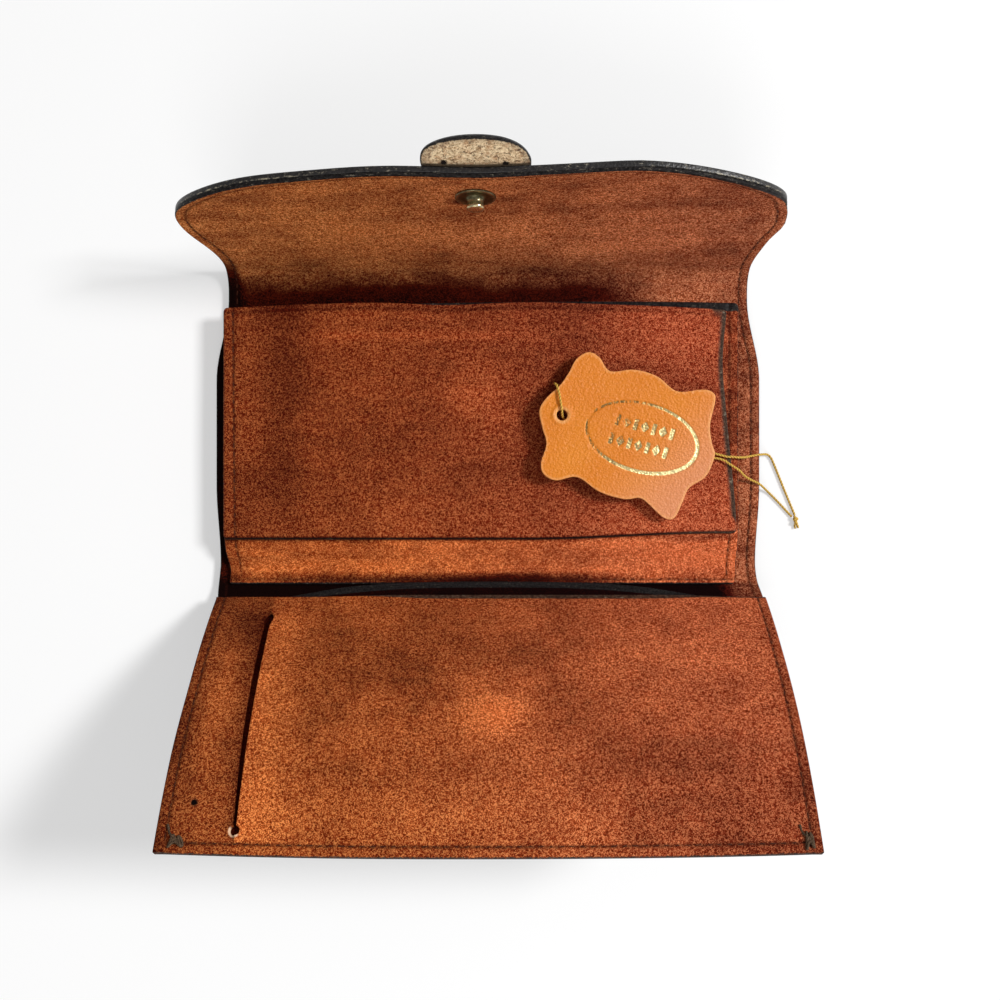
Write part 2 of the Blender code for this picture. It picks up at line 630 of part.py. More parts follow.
def snap_stud_profile():
    """A flange on the lining, a neck and a flattened ball."""
    base = LINING_TOP + CLEARANCE
    top = base + STUD_HEIGHT
    middle = top - STUD_BALL_HALF_HEIGHT
    start = math.pi - math.asin(STUD_NECK_RADIUS / STUD_BALL_RADIUS)
    flange = [(0.0, base), (FLANGE_RADIUS - 0.5 * FLANGE_RIM, base)]
    flange += round_edge(FLANGE_RADIUS, base + FLANGE_RIM, base + FLANGE_THICKNESS)
    ball = [
        (STUD_BALL_RADIUS * math.sin(a), middle + STUD_BALL_HALF_HEIGHT * math.cos(a))
        for a in spread(start, 0.0, 8)
    ]
    return [*flange, (STUD_NECK_RADIUS, base + FLANGE_THICKNESS), *ball[:-1], (0.0, top)]


def snap_socket_profile():
    """A thick ring with a shoulder outside and a bevelled bore that takes the ball."""
    face = -CLEARANCE
    end = face - SOCKET_HEIGHT
    outside = [(0.0, face), (FLANGE_RADIUS, face), (FLANGE_RADIUS, end + SOCKET_SHOULDER)]
    outside += [(FLANGE_RADIUS - SOCKET_SHOULDER, end), (SOCKET_BORE_RADIUS + SOCKET_BORE_BEVEL, end)]
    bore = [(SOCKET_BORE_RADIUS, end + SOCKET_BORE_BEVEL), (SOCKET_BORE_RADIUS, face - SOCKET_FLOOR)]
    return [*outside, *bore, (0.0, face - SOCKET_FLOOR)]


def socket_eyelet_profile():
    """A flange on the lining whose shaft goes out to the socket."""
    base = LINING_TOP + CLEARANCE
    top = base + FLANGE_THICKNESS
    shaft = [(0.0, 0.0), (RIVET_RADIUS, 0.0), (RIVET_RADIUS, base), (EYELET_RADIUS, base)]
    return [*shaft, *round_edge(EYELET_RADIUS, base + FLANGE_RIM, top), (0.0, top)]


def make_press_stud(brass):
    flap = fittings_axis(stud_point())
    panel = fittings_axis((STUD_X, SOCKET_S))
    add_turned("snap_cap", brass, snap_cap_profile(), flap)
    add_turned("snap_stud", brass, snap_stud_profile(), flap)
    add_turned("snap_socket", brass, snap_socket_profile(), panel)
    add_turned("socket_eyelet", brass, socket_eyelet_profile(), panel)


def make_tag(leather):
    outline = smooth_loop(TAG_OUTLINE, 3)
    hole = circle(TAG_HOLE, TAG_HOLE_RADIUS)
    add_sheet("hang_tag", leather, tag_place, (0.0, TAG_THICKNESS), outline, [hole])


def make_thread(thread):
    curve = bpy.data.curves.new("tag_thread", "CURVE")
    curve.dimensions = "3D"
    curve.bevel_depth = 0.5 * THREAD_DIAMETER * MM
    curve.bevel_resolution = 2
    curve.use_fill_caps = True
    curve.resolution_u = 1
    curve.render_resolution_u = 0
    route = smooth_route(THREAD_ROUTE, THREAD_STEPS)
    spline = curve.splines.new("POLY")
    spline.points.add(len(route) - 1)
    for point, place in zip(spline.points, route):
        point.co = (*(place * MM), 1.0)
    curve.materials.append(thread)
    bpy.context.scene.collection.objects.link(bpy.data.objects.new("tag_thread", curve))

    bm = bmesh.new()
    bmesh.ops.create_icosphere(bm, subdivisions=3, radius=1.0)
    bmesh.ops.scale(bm, vec=KNOT_SIZE, verts=bm.verts)
    bmesh.ops.translate(bm, vec=KNOT_PLACE, verts=bm.verts)
    knot = add_object("thread_knot", bm, thread)
    knot.data.shade_smooth()


def main():
    for obj in list(bpy.data.objects):
        bpy.data.objects.remove(obj)
    black = add_material("black_leather", (28, 26, 28), 0.42)
    suede = add_material("brown_suede", (150, 66, 36), 0.95)
    tan = add_material("natural_tan", (190, 152, 108), 0.85)
    brass = add_material("antique_brass", (128, 112, 66), 0.35, metallic=1.0)
    tag_leather = add_material("orange_leather", (228, 145, 62), 0.5)
    thread = add_material("mustard_thread", (205, 150, 50), 0.7)
    make_body_sheets(black, suede)
    make_front_pocket(suede)
    make_page(suede)
    make_pull_tab(tan)
    make_press_stud(brass)
    make_tag(tag_leather)
    make_thread(thread)


main()
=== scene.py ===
"""The look of a long leather wallet that lies open on its back.

Pattern coordinates are millimetres: x along the folds, s along the bent outer face from the middle of
the back (towards the flap above zero, towards the front panel below it), and depth from the outer face
inwards. place functions turn them into points of the scene in metres.
"""
import math
from functools import partialmethod

import bmesh
import bpy
import numpy as np
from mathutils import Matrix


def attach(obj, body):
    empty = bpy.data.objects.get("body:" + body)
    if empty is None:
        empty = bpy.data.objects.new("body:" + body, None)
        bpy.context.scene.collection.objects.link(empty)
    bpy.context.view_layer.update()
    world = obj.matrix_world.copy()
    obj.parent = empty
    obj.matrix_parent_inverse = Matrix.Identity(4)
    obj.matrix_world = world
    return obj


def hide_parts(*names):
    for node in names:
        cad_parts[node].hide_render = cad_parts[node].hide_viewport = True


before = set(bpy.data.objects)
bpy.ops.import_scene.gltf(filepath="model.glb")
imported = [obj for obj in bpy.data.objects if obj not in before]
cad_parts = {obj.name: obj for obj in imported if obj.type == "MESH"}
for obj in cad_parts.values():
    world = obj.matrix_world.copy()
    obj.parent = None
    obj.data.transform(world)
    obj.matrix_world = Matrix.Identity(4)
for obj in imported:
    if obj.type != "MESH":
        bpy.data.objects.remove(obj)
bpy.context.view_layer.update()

# Course of the wallet's outer face, from the middle of the back: runs of (length, turn)
BACK_HALF = 95.2
LOWER_FLAT = 47.9
UPPER_FLAT = 53.8
LOWER_ANGLE = math.radians(58.5)
UPPER_ANGLE = math.radians(76)
CURL_ANGLE = math.radians(8)
FRONT_RUNS = [(LOWER_FLAT, 0), (12 * LOWER_ANGLE, LOWER_ANGLE), (92, -math.radians(26.7)), (5, 0)]
FLAP_RUNS = [(UPPER_FLAT, 0), (11 * UPPER_ANGLE, UPPER_ANGLE), (34, 0), (10, CURL_ANGLE), (21.5, 0)]
FRONT_START = -LOWER_FLAT - 12 * LOWER_ANGLE
LIP = FRONT_START - 92
UPPER_FOLD_END = UPPER_FLAT + 11 * UPPER_ANGLE
TIP = UPPER_FOLD_END + 65.5
TIP_HEIGHT = 31
TIP_FLAT = 20
SHOULDER = TIP - TIP_HEIGHT

# Depths of the sheets' upper faces
LINING_TOP = 2.7
BACKING_TOP = 3.85
POCKET_TOP = 5
PAGE_TOP = 2.3
TAG_THICKNESS = 1.6

# The pocket: its free upper edge, the socket under it, and the slit
POCKET_EDGE = FRONT_START + 2.5
SOCKET = (-1.2, POCKET_EDGE - 53)
SLIT_LENGTH = 76.6
SLIT_TOP = POCKET_EDGE - 10
SLIT_END = SLIT_TOP - SLIT_LENGTH
HOLE_RADIUS = 1.35
HOLE_CENTER = SLIT_END - 1.3

# The page: its bottom seam's place, its two sides and how it lifts off the lining
PAGE_START = (-48.9, 3)
PAGE_LEFT = -91
PAGE_BACK_RIGHT = 87.2
PAGE_FRONT_RIGHT = 83.5
PAGE_LIFT_ANGLE = 2 * math.atan2(4.6, 15)
PAGE_ARC = 15 / (2 * math.sin(PAGE_LIFT_ANGLE)) * PAGE_LIFT_ANGLE
PAGE_RUNS = [(4, 0), (PAGE_ARC, PAGE_LIFT_ANGLE), (PAGE_ARC, -PAGE_LIFT_ANGLE), (120, 0)]

# The pull tab: half its width, its two ends along the flap, and its bend
TAB_HALF = 15.9
TAB_MIDDLE = -0.7
TAB_END = 10.3
TAB_START = -8.1
TAB_TURN = math.radians(42)

STITCH_PITCH = 3
STITCH_INSET = 3
EDGE_STEPS = np.array([0, 0.08, 0.25, 0.5, 0.9, 1.4, 1.9, 2.3, 2.6, 3, 3.4, 3.8, 4.4, 5.5, 7, 9.5])


# Shape helpers


def unit(value):
    """The value held between 0 and 1."""
    return np.clip(value, 0, 1)


def ease(value, start, end):
    """0 before start, 1 after end, an even S between them."""
    share = unit((value - start) / (end - start))
    return share * share * (3 - 2 * share)


def window(value, start, full, fade, end):
    """An even S up from start to full, and one down from fade to end."""
    return ease(value, start, full) * (1 - ease(value, fade, end))


def hump(value, center, reach):
    """A bell that is 1 at the center and falls to a third one reach away."""
    return np.exp(-(((value - center) / reach) ** 2))


def patches(x, s, *rows):
    """The sum of round bells, each (height, x, its reach along x, s, its reach along s)."""
    return sum(height * hump(x, *row[:2]) * hump(s, *row[2:]) for height, *row in rows)


def fall(distance, reach):
    """1 at no distance or less, a third at one reach."""
    return np.exp(-np.maximum(distance, 0) / reach)


def quarter(share):
    """The height of a quarter circle of radius 1 at a share of the way out."""
    return np.sqrt(1 - unit(share) ** 2)


def roundness(distance, radius):
    """How far a rounded edge falls back: the radius at no distance from it, nothing at the radius."""
    return radius * (1 - quarter(1 - distance / radius))


def layer(*values):
    """The values at each point, broadcast together, as the last axis of one array."""
    return np.stack(np.broadcast_arrays(*values), -1)


def directions(vectors):
    """The vectors, each over its own length."""
    return vectors / np.linalg.norm(vectors, axis=-1, keepdims=True)


def walk(runs, distance, along, up, heading=0):
    """Points and headings at distances along straight and arc runs: each run adds its chord."""
    rest = distance
    for length, turn in runs:
        step = np.minimum(rest, length)
        swing = turn * step / length
        chord = 2 * length / turn * np.sin(swing / 2) if turn else step
        along = along + chord * np.cos(heading + swing / 2)
        up = up + chord * np.sin(heading + swing / 2)
        heading = heading + swing
        rest = rest - step
    return along, up, heading


def set_off(x, along, up, heading, depth):
    """Scene points that lie depth off a course, at right angles to its heading."""
    return layer(x, along - depth * np.sin(heading), up + depth * np.cos(heading)) * 0.001


def half_width(s):
    """Half the wallet's width: the back's, drawn in at both folds, flared along the flap."""
    waist = 6.5 - LOWER_FLAT
    reach = np.where(s < waist, 14, 27)
    width = BACK_HALF - 1.5 * (1 - ease(np.abs(s - waist) / reach, 0, 1))
    width = width - 4.3 * ease(s, UPPER_FLAT - 31, UPPER_FLAT - 3)
    return width + 4.8 * ease(s, UPPER_FOLD_END + 1, UPPER_FOLD_END + 35)


TIP_SWEEP = float(half_width(SHOULDER)) - TIP_FLAT
AWL_HOLE = (9.6 - float(half_width(POCKET_EDGE - 80.2)), POCKET_EDGE - 80.2)


def body_half(s):
    """The same, with the lip's corners rounded and the tip closed by two quarter ellipses and a flat."""
    tip = TIP_FLAT + TIP_SWEEP * quarter((s - SHOULDER) / TIP_HEIGHT)
    return np.where(s > SHOULDER, tip, half_width(s) - roundness(s - LIP, 0.4))


def tip_reach(x):
    """The pattern's end at x: the tip's quarter ellipse, or its flat."""
    return SHOULDER + TIP_HEIGHT * quarter((np.abs(x) - TIP_FLAT) / TIP_SWEEP)


def body_place(x, s, depth):
    """The wallet's course: x moved with the front panel and the flap, then s walked and depth set off.

    The flap's tip is a little swollen along its rim, its corners are fuller and it dips at the tab. The
    lip bows out by 1.4 mm in its middle, and the flap and the lip wave a little across their length.
    """
    share = ease(s, UPPER_FOLD_END, UPPER_FOLD_END + 34)
    swell = (1 - ease(tip_reach(x) - s, 0.5, 7)) * ease(s, SHOULDER + 2, SHOULDER + 14)
    depth = depth * (1 + 0.14 * swell * (depth > 0))
    corner = 1.6 * hump(s, SHOULDER - 10, 5.5) - 0.2 * hump(s, SHOULDER + 1, 4) + 0.7
    s = s + 0.045 * share * x - 0.5 * hump(x, -3, 15) * ease(s, SHOULDER + 16, TIP - 1)
    s = s - 1.45 * unit(1 - (x / 92) ** 2) * ease(-s, 112, -LIP)
    corner = (corner - 1.1 * ease(s, SHOULDER, SHOULDER + 7)) * ease(x, 60, 92)
    x = x + corner - (1.2 * share + 0.5 * ease(-s, 96, 126)) * ease(-x, 60, 92)
    wave = 1.5 * hump(x, 52, 24) + 0.5 * hump(x, -34, 20) - 0.5 * hump(x, 4, 16) + 1.1 * hump(x, -74, 20)
    depth = depth - wave * ease(s, 96, 128) + 0.5 * np.sin(x / 17 + s / 30) * window(s, 70, 84, 100, 112)
    depth = depth + 0.35 * np.sin(x / 23 + 1) * np.sin(s / 14) * ease(-s, 74, 90)
    x = x - 1.6 * share + 1.2 * ease(-s, LOWER_FLAT - 2.5, -FRONT_START)
    front = walk(FRONT_RUNS, np.maximum(-s, 0), 0, 0)
    flap = walk(FLAP_RUNS, np.maximum(s, 0), 0, 0)
    points = set_off(x, *(np.where(s < 0, a, b) for a, b in zip(front, flap)), depth)
    return points * layer(1, np.where(s < 0, -1, 1), 1)


def swollen_place(x, s, depth):
    """The same, lifted 1.1 mm over the socket's eyelet and eased down around it."""
    away = np.hypot(x - SOCKET[0], s - SOCKET[1])
    return body_place(x, s, depth + 1.1 * (1 - ease(away, 4.5, 13)))


def page_place(x, s, depth):
    """The page's course from its bottom seam, with a slight wave across it."""
    along, up, heading = walk(PAGE_RUNS, s, *PAGE_START)
    x = x + 1.1 * hump(s, 4.5, 4.5) * ease(-x, 86, 91)
    wave = 0.28 * np.sin(x / 19 + 0.6) * np.sin(s / 21) - 0.5 * hump(x, 84, 9)
    return set_off(x, along, up + ease(s, 22, 60) * wave, heading, depth)


def merge_steps(*groups, apart=0.02):
    """All the stations in order, without those that nearly repeat one."""
    steps = np.sort(np.concatenate(groups))
    return steps[np.concatenate([[True], np.diff(steps) > apart])]


def shares(width, low, count, steps=EDGE_STEPS):
    """Shares of a width: even ones from low to 1 - low, and steps in mm close together at both ends."""
    near = steps / width
    return merge_steps(near, 1 - near, np.linspace(low, 1 - low, count), apart=0.0002)


ACROSS = 2 * shares(190, 0.06, 46) - 1


def grid_faces(rows, cols, first=0, closed=False):
    """The quads of a grid of rows times cols points. A closed grid joins its last column to its first."""
    row = first + cols * np.arange(rows - 1)[:, None]
    col = np.arange(cols if closed else cols - 1)
    after = (col + 1) % cols
    return layer(row + col, row + after, row + after + cols, row + col + cols).reshape(-1, 4)


def make_piece(name, node, material, points, faces, layers, merge=2e-6):
    """A mesh from arrays of points and quads, with its doubles merged and its faces turned outwards.

    It stands for the node, if one is given, and takes the material given.
    """
    mesh = bpy.data.meshes.new(name)
    mesh.from_pydata(points.reshape(-1, 3).tolist(), [], faces.tolist())
    for key, values in layers.items():
        attribute = mesh.attributes.new(key, "FLOAT_VECTOR", "POINT")
        attribute.data.foreach_set("vector", values.astype(np.float32).reshape(-1))
    bm = bmesh.new()
    bm.from_mesh(mesh)
    bmesh.ops.remove_doubles(bm, verts=bm.verts, dist=merge)
    bmesh.ops.dissolve_degenerate(bm, edges=bm.edges, dist=1e-7)
    bmesh.ops.recalc_face_normals(bm, faces=bm.faces)
    bm.to_mesh(mesh)
    bm.free()
    mesh.polygons.foreach_set("use_smooth", [True] * len(mesh.polygons))
    mesh.set_sharp_from_angle(angle=math.radians(50))
    mesh.materials.append(material)
    piece = bpy.data.objects.new(name, mesh)
    bpy.context.scene.collection.objects.link(piece)
    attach(piece, "root")
    if node:
        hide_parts(node)
    return piece


def sheet_piece(
    name, node, slot, material, blocks, place, low, high, margin, tone, seam, rounding=0.3, **cut,
):
    """A closed sheet of leather from one or more blocks of pattern points (x, s, rim).

    Its two faces are the pattern at the depths low and high.
    """
    points, faces, flat, edge, first = [], [], [], [], 0
    for x, s, rim in blocks:
        turn = roundness(rim, rounding)
        stitched = seam(x, s, rim)
        for side, depth in enumerate((high - turn - 0.28 * hump(stitched, 0, 0.8), low + turn)):
            points.append(place(x, s, depth).reshape(-1, 3))
            flat.append(layer(x, s, depth).reshape(-1, 3))
            edge.append(layer(stitched, margin(x, s, rim), tone(x, s, depth)).reshape(-1, 3))
            faces.append(grid_faces(*x.shape, first + side * x.size))
        index = np.arange(x.size).reshape(x.shape)
        ring = np.concatenate([index[0, :-1], index[:-1, -1], index[-1, :0:-1], index[::-1, 0]])
        wall = layer(ring[:-1], ring[1:], ring[1:] + x.size, ring[:-1] + x.size)
        faces.append(wall[rim.reshape(-1)[wall[:, :2]].sum(1) < 0.02] + first)
        first += 2 * x.size
    layers = {"flat": np.concatenate(flat), "edge": np.concatenate(edge)}
    piece = make_piece(name, node, material, np.concatenate(points), np.concatenate(faces), layers)


def rim_distance(side, end):
    """Distance to the nearer of a side and an end, rounded where they meet."""
    side, end = np.maximum(side, 0), np.maximum(end, 0)
    return side * end / np.maximum(np.hypot(side, end), 1e-9)


# Materials


class Wire:
    """An output of a material's node. Sums with it add Math nodes."""

    def __init__(self, finish, socket):
        self.finish = finish
        self.socket = socket

    def math(self, operation, *others):
        return self.finish.node("ShaderNodeMath", {"operation": operation}, dict(enumerate((self, *others))))

    __add__ = __radd__ = partialmethod(math, "ADD")
    __mul__ = __rmul__ = partialmethod(math, "MULTIPLY")
    __sub__ = partialmethod(math, "SUBTRACT")

    def __rsub__(self, other):
        return self.finish.node("ShaderNodeMath", {"operation": "SUBTRACT"}, {0: other, 1: self})

    def step(self, start, end):
        """0 at start, 1 at end, an even S between them; start may be the larger."""
        inputs = {"Value": self, "From Min": start, "From Max": end}
        return self.finish.node("ShaderNodeMapRange", {"interpolation_type": "SMOOTHSTEP"}, inputs)

    def mix(self, first, second):
        """The colour at this share between two, each a display colour of 0 to 255 or a wire."""
        first, second = (value if isinstance(value, Wire) else display(value) for value in (first, second))
        settings = {"data_type": "RGBA", "clamp_factor": True}
        return self.finish.node("ShaderNodeMix", settings, {0: self, 6: first, 7: second}, 2)

    def bump(self, distance, strength):
        inputs = {"Height": self, "Distance": distance, "Strength": strength}
        return self.finish.node("ShaderNodeBump", {}, inputs)

    def split(self):
        return [self.finish.node("ShaderNodeSeparateXYZ", {}, {0: self}, axis) for axis in range(3)]

    def scaled(self, *factors):
        return self.finish.node("ShaderNodeVectorMath", {"operation": "MULTIPLY"}, {0: self, 1: factors})

    def distance(self, point):
        """Distance in the pattern's plane from a point (x, s)."""
        inputs = {0: self.scaled(1, 1, 0), 1: (*point, 0)}
        return self.finish.node("ShaderNodeVectorMath", {"operation": "DISTANCE"}, inputs, "Value")

    def noise(self, scale, detail=2, roughness=0.5, distortion=0):
        inputs = {"Vector": self, "Scale": scale, "Detail": detail}
        inputs |= {"Roughness": roughness, "Distortion": distortion}
        return self.finish.node("ShaderNodeTexNoise", {}, inputs)

    def cells(self, scale, feature="F1"):
        inputs = {"Vector": self, "Scale": scale}
        return self.finish.node("ShaderNodeTexVoronoi", {"feature": feature}, inputs, "Distance")


class Finish:
    """A material in the making: a Principled shader and the nodes that feed it."""

    def __init__(self, name, **constants):
        self.material = bpy.data.materials.new(name)
        self.material.use_nodes = True
        self.tree = self.material.node_tree
        self.shader = self.tree.nodes["Principled BSDF"]
        for key, value in constants.items():
            self.shader.inputs[key.replace("_", " ")].default_value = value

    def node(self, kind, settings, inputs, output=0):
        """Adds a node with its settings and its sockets' values or links, and gives one output."""
        node = self.tree.nodes.new(kind)
        for key, value in settings.items():
            setattr(node, key, value)
        for key, value in inputs.items():
            if isinstance(value, Wire):
                self.tree.links.new(value.socket, node.inputs[key])
            else:
                node.inputs[key].default_value = value
        return Wire(self, node.outputs[output])

    def attribute(self, name):
        return self.node("ShaderNodeAttribute", {"attribute_name": name}, {}, "Vector")

    def feed(self, **links):
        for key, value in links.items():
            self.tree.links.new(value.socket, self.shader.inputs[key.replace("_", " ")])
        return self.material


def display(color):
    """A display colour of 0 to 255 as a linear one."""
    return (*[((value / 255 + 0.055) / 1.055) ** 2.4 for value in color], 1)


BLACK_INK = ((17, 15, 15), (42, 39, 39))
GREY_INK = ((40, 28, 23), (88, 66, 52))
LINING_HUES = ((20, 3, 1), (88, 24, 8), (156, 71, 31), (230, 128, 62), (255, 174, 102))
PAGE_HUES = ((20, 3, 1), (86, 22, 8), (148, 48, 18), (230, 102, 44), (255, 152, 84))
POCKET_HUES = ((20, 3, 1), (86, 24, 8), (150, 57, 22), (226, 108, 46), (255, 156, 84))


def painted(color, rough, flat, paint, wear, soft=0.16, inks=BLACK_INK):
    """Edge paint over a face colour where paint is below zero, chipped and rubbed pale in places."""
    chips = flat.noise(1.3, 3, 0.6)
    mask = (paint + (chips - 0.5) * 0.9).step(soft, -soft)
    scuff = flat.scaled(0.35, 0.35, 1).noise(1.6, 5, 0.8).step(0.56, 0.66) * wear
    ink = scuff.mix(chips.step(0.3, 0.7).mix(*inks), (168, 158, 138))
    return mask.mix(color, ink), rough + (0.4 - rough) * mask, mask


def suede_finish(
    name, hues, streaks=0.12, nap=1, stains=1, wear=0.4, soft=0.16, inks=BLACK_INK, hole=None, eye=None,
):
    """Napped suede: clouds and streaks of tone, a fine worm-like nap, a pressed seam with painted shade
    in its groove, and edge paint.

    hues are its shade, its dark, its middle, its light and its nap's tips. The tone from the mesh, in
    quarters of the way from shade to light, sets the colour, which turns a little pinker towards the
    right as a painted sheen. streaks, nap and stains are how strong those are, wear is the paint's
    rubbed share, soft the softness of its edge in mm, and inks its two colours. hole is the pattern
    point of a stray awl hole, drawn as a dark disc of painted shade, and eye that of the slit's punched
    hole, whose edge has a painted highlight at its lower left.
    """
    finish = Finish(name, Specular_IOR_Level=0.05)
    flat = finish.attribute("flat")
    x, s, depth = flat.split()
    seam, paint, tone = finish.attribute("edge").split()
    clouds = flat.scaled(1, 1, 0).noise(0.03, 3, 0.55)
    lines = flat.scaled(0.03, 0.14, 0).noise(1, 3, 0.5, 0.8)
    mottle = flat.noise(0.14, 4, 0.62, 0.4)
    tone_patches = (clouds - 0.5) * (0.6 * stains) + (mottle - 0.5) * (0.46 * stains)
    tone_patches = tone_patches + (lines - 0.5) * (1.6 * streaks)
    value = 0.435 + tone * 0.25 + tone_patches * (tone * 0.45 + 1).math("MAXIMUM", 0.25).math("MINIMUM", 1)
    shade, dark, middle, light, tips = hues
    color = (value * 4 - 1).mix((value * 4).mix(shade, dark), middle)
    color = (value * 2 - 1).mix(color, light)
    tips = (value * 1.7 - 0.2).mix((value * 4 + 0.6).mix(shade, dark), tips)
    grain = flat.noise(1.6, 2, 0.5, 1.3)
    fine = flat.noise(3.1, 2, 0.6, 0.6)
    fuzz = (grain - 0.5) * (12.5 * nap) + (fine - 0.5) * (9 * nap)
    color = (fuzz * 0.8).mix(color, tips)
    color = (fuzz * -0.36).mix(color, color.scaled(0.28, 0.2, 0.16))
    # Painted sheen: the colour turns a little pinker towards the right.
    color = x.step(-60, 90).mix(color, color.scaled(1, 0.94, 1.45))
    ragged = flat.noise(0.8, 2, 0.6)
    # Painted shade in the pressed seam's groove, which the crease also dents.
    crease = (seam + (ragged - 0.5) * 1.3).math("ABSOLUTE").step(0.85, 0.05) * (0.2 + ragged * 0.7)
    color = crease.mix(color, (44, 14, 8))
    if eye:
        # Painted highlight on the punched hole's edge at its lower left.
        rim = (flat.distance(eye) - 1.55).math("ABSOLUTE").step(0.55, 0.15)
        eye_highlight = (x - eye[0] + (s - eye[1]) * 1.2).step(0.4, -1) * rim
        color = (eye_highlight * 0.9).mix(color, (240, 200, 164))
    pit = 0
    if hole:
        off = flat.distance(hole)
        # A dull ring, then a dark disc of painted shade for the awl hole's inside, and a dent.
        color = (off.step(1.7, 0.9) * 0.35).mix(color, (96, 60, 40))
        color = off.step(0.95, 0.7).mix(color, (14, 6, 5))
        pit = off.step(1.3, 0.6) * 1.4
    color, rough, mask = painted(color, 0.96, flat, paint, wear, soft, inks)
    relief = (grain * 0.8 + fine * 0.3) * (1 - mask * 0.7) + mottle * 0.5 - crease * 0.5 - pit
    return finish.feed(Base_Color=color, Roughness=rough, Normal=relief.bump(0.00042, nap))


def black_leather_finish():
    """Smooth black grain leather: fine pebbles, soft creases, dust-pale wear and flecks on the tip's edge."""
    finish = Finish("black_grain_leather", Specular_IOR_Level=0.45)
    flat = finish.attribute("flat")
    x, s, depth = flat.split()
    seam, paint, tone = finish.attribute("edge").split()
    creases = flat.scaled(0.1, 0.45, 0.1).noise(1, 5, 0.7)
    rubbed = flat.noise(0.05, 4, 0.6)
    rough = 0.4 + (rubbed - 0.5) * 0.3 + (creases - 0.5) * 0.2
    color, rough, mask = painted(rubbed.mix((24, 22, 24), (44, 41, 43)), rough, flat, paint, 0.6)
    flecks = flat.scaled(0.5, 0.5, 1.4).noise(1.1, 4, 0.75).step(0.5, 0.6)
    ends = (x * -1).step(44, 62) + x.step(58, 76)
    line = flecks * (depth - 1.35).math("ABSOLUTE").step(0.25, 0.1) * ends * s.step(108, 116)
    color = (line * mask * 0.85).mix(color, (176, 166, 142))
    relief = flat.cells(1.05) * 0.5 + flat.cells(2.3) * 0.25 + creases * 1.2
    return finish.feed(Base_Color=color, Roughness=rough, Normal=relief.bump(0.00022, 0.8))


def tag_finish():
    """Smooth orange leather: slanting grain, pale rims that are partly a painted highlight, a pressed foil
    ring and two rows of foil marks.
    """
    finish = Finish("orange_tag_leather", Specular_IOR_Level=0.4)
    flat = finish.attribute("flat")
    x, y, depth = flat.split()
    rim, hole, foil = finish.attribute("edge").split()
    turned = finish.node("ShaderNodeVectorRotate", {}, {"Vector": flat, "Axis": (0, 0, 1), "Angle": 0.9})
    grain = turned.scaled(1, 0.45, 1).noise(1.5, 3, 0.6, 0.5)
    color = flat.noise(0.05).mix((212, 114, 12), (228, 138, 30))
    color = ((x - y * 1.1).step(48, 92) * 0.85).mix(color, (220, 142, 96))
    color = ((grain - 0.5).step(0.08, 0.22) * 0.25).mix(color, (196, 112, 44))
    # Pale band along the rim, partly a painted highlight on the rounded edge.
    color = (rim.step(1.3, 0.3) * 0.5).mix(color, (240, 172, 104))
    color = (rim.step(0.14, 0.02) * 0.75).mix(color, (176, 104, 52))
    color = (hole.step(1.6, 0.4) * 0.55).mix(color, (243, 184, 116))
    wear_and_highlight = flat.scaled(1, 0.3, 0).noise(0.9, 3, 0.7)
    bright = (x - y).step(30, 78)
    mark = foil.step(-0.1, 0.1) * (wear_and_highlight + bright * 0.35).step(0.46, 0.56)
    color = mark.mix(color, (bright + (wear_and_highlight - 0.5) * 0.8).mix((132, 96, 44), (250, 232, 168)))
    relief = grain * 1.3 + flat.cells(1.3) * 0.6 - foil.step(-0.6, 0.3) * 0.8
    return finish.feed(
        Base_Color=color, Roughness=0.46 - mark * 0.16, Metallic=mark * 0.85, Normal=relief.bump(0.0003, 0.9))


def tab_finish():
    """The pull tab: rough natural flesh side within a black painted edge, black grain on its other face."""
    finish = Finish("natural_flesh_side", Specular_IOR_Level=0.2)
    flat = finish.attribute("flat")
    x, s, depth = flat.split()
    rim, paint, outside = finish.attribute("edge").split()
    fibre = flat.scaled(0.6, 1.1, 1).noise(0.8, 5, 0.75, 1.4)
    fluff = flat.noise(1.9, 3, 0.7, 0.6)
    pits = flat.scaled(0.55, 1, 1).noise(1.15, 3, 0.65, 1)
    color = (fibre * 0.6 + fluff * 0.4).step(0.38, 0.58).mix((172, 132, 90), (255, 230, 188))
    color = ((flat.noise(0.45, 3, 0.6) - 0.5).step(-0.02, 0.14) * 0.4).mix(color, (192, 138, 94))
    shift = finish.node("ShaderNodeCombineXYZ", {}, {0: fibre, 1: fluff}).scaled(1.6, 1.6, 0)
    bent = finish.node("ShaderNodeVectorMath", {"operation": "ADD"}, {0: flat, 1: shift})
    cracks = bent.cells(0.62, "DISTANCE_TO_EDGE").step(0.09, 0.02) * pits.step(0.44, 0.58)
    color = (cracks * 0.75).mix(color, (96, 62, 38))
    color = (pits.step(0.62, 0.72) * 0.7).mix(color, (92, 64, 42))
    # Painted shadow along the tab's root at the flap's rim.
    color = (s.step(1.9, 0.7) * 0.85).mix(color, (38, 27, 20))
    for hole in ((-9.9, 1.9), (7.8, 1.4)):
        spot = flat.distance(hole) + (fluff - 0.5) * 1.6
        color = spot.step(1.35, 0.7).mix(color, (26, 17, 13))
    color = ((rim - 9).step(2.6, 0.6) * 0.35).mix(color, (96, 84, 74))
    color, rough, mask = painted(color, 0.9, flat, paint, 0.35)
    back = outside.step(0.4, 0.6)
    color = back.mix(color, (28, 26, 28))
    rough = rough + (0.42 - rough) * back
    relief = (fibre * 0.9 + fluff * 0.5 - pits.step(0.56, 0.66) * 0.7) * (1 - back)
    relief = relief + flat.cells(1.05) * 0.3 * back
    return finish.feed(Base_Color=color, Roughness=rough, Normal=relief.bump(0.0004, 0.9))


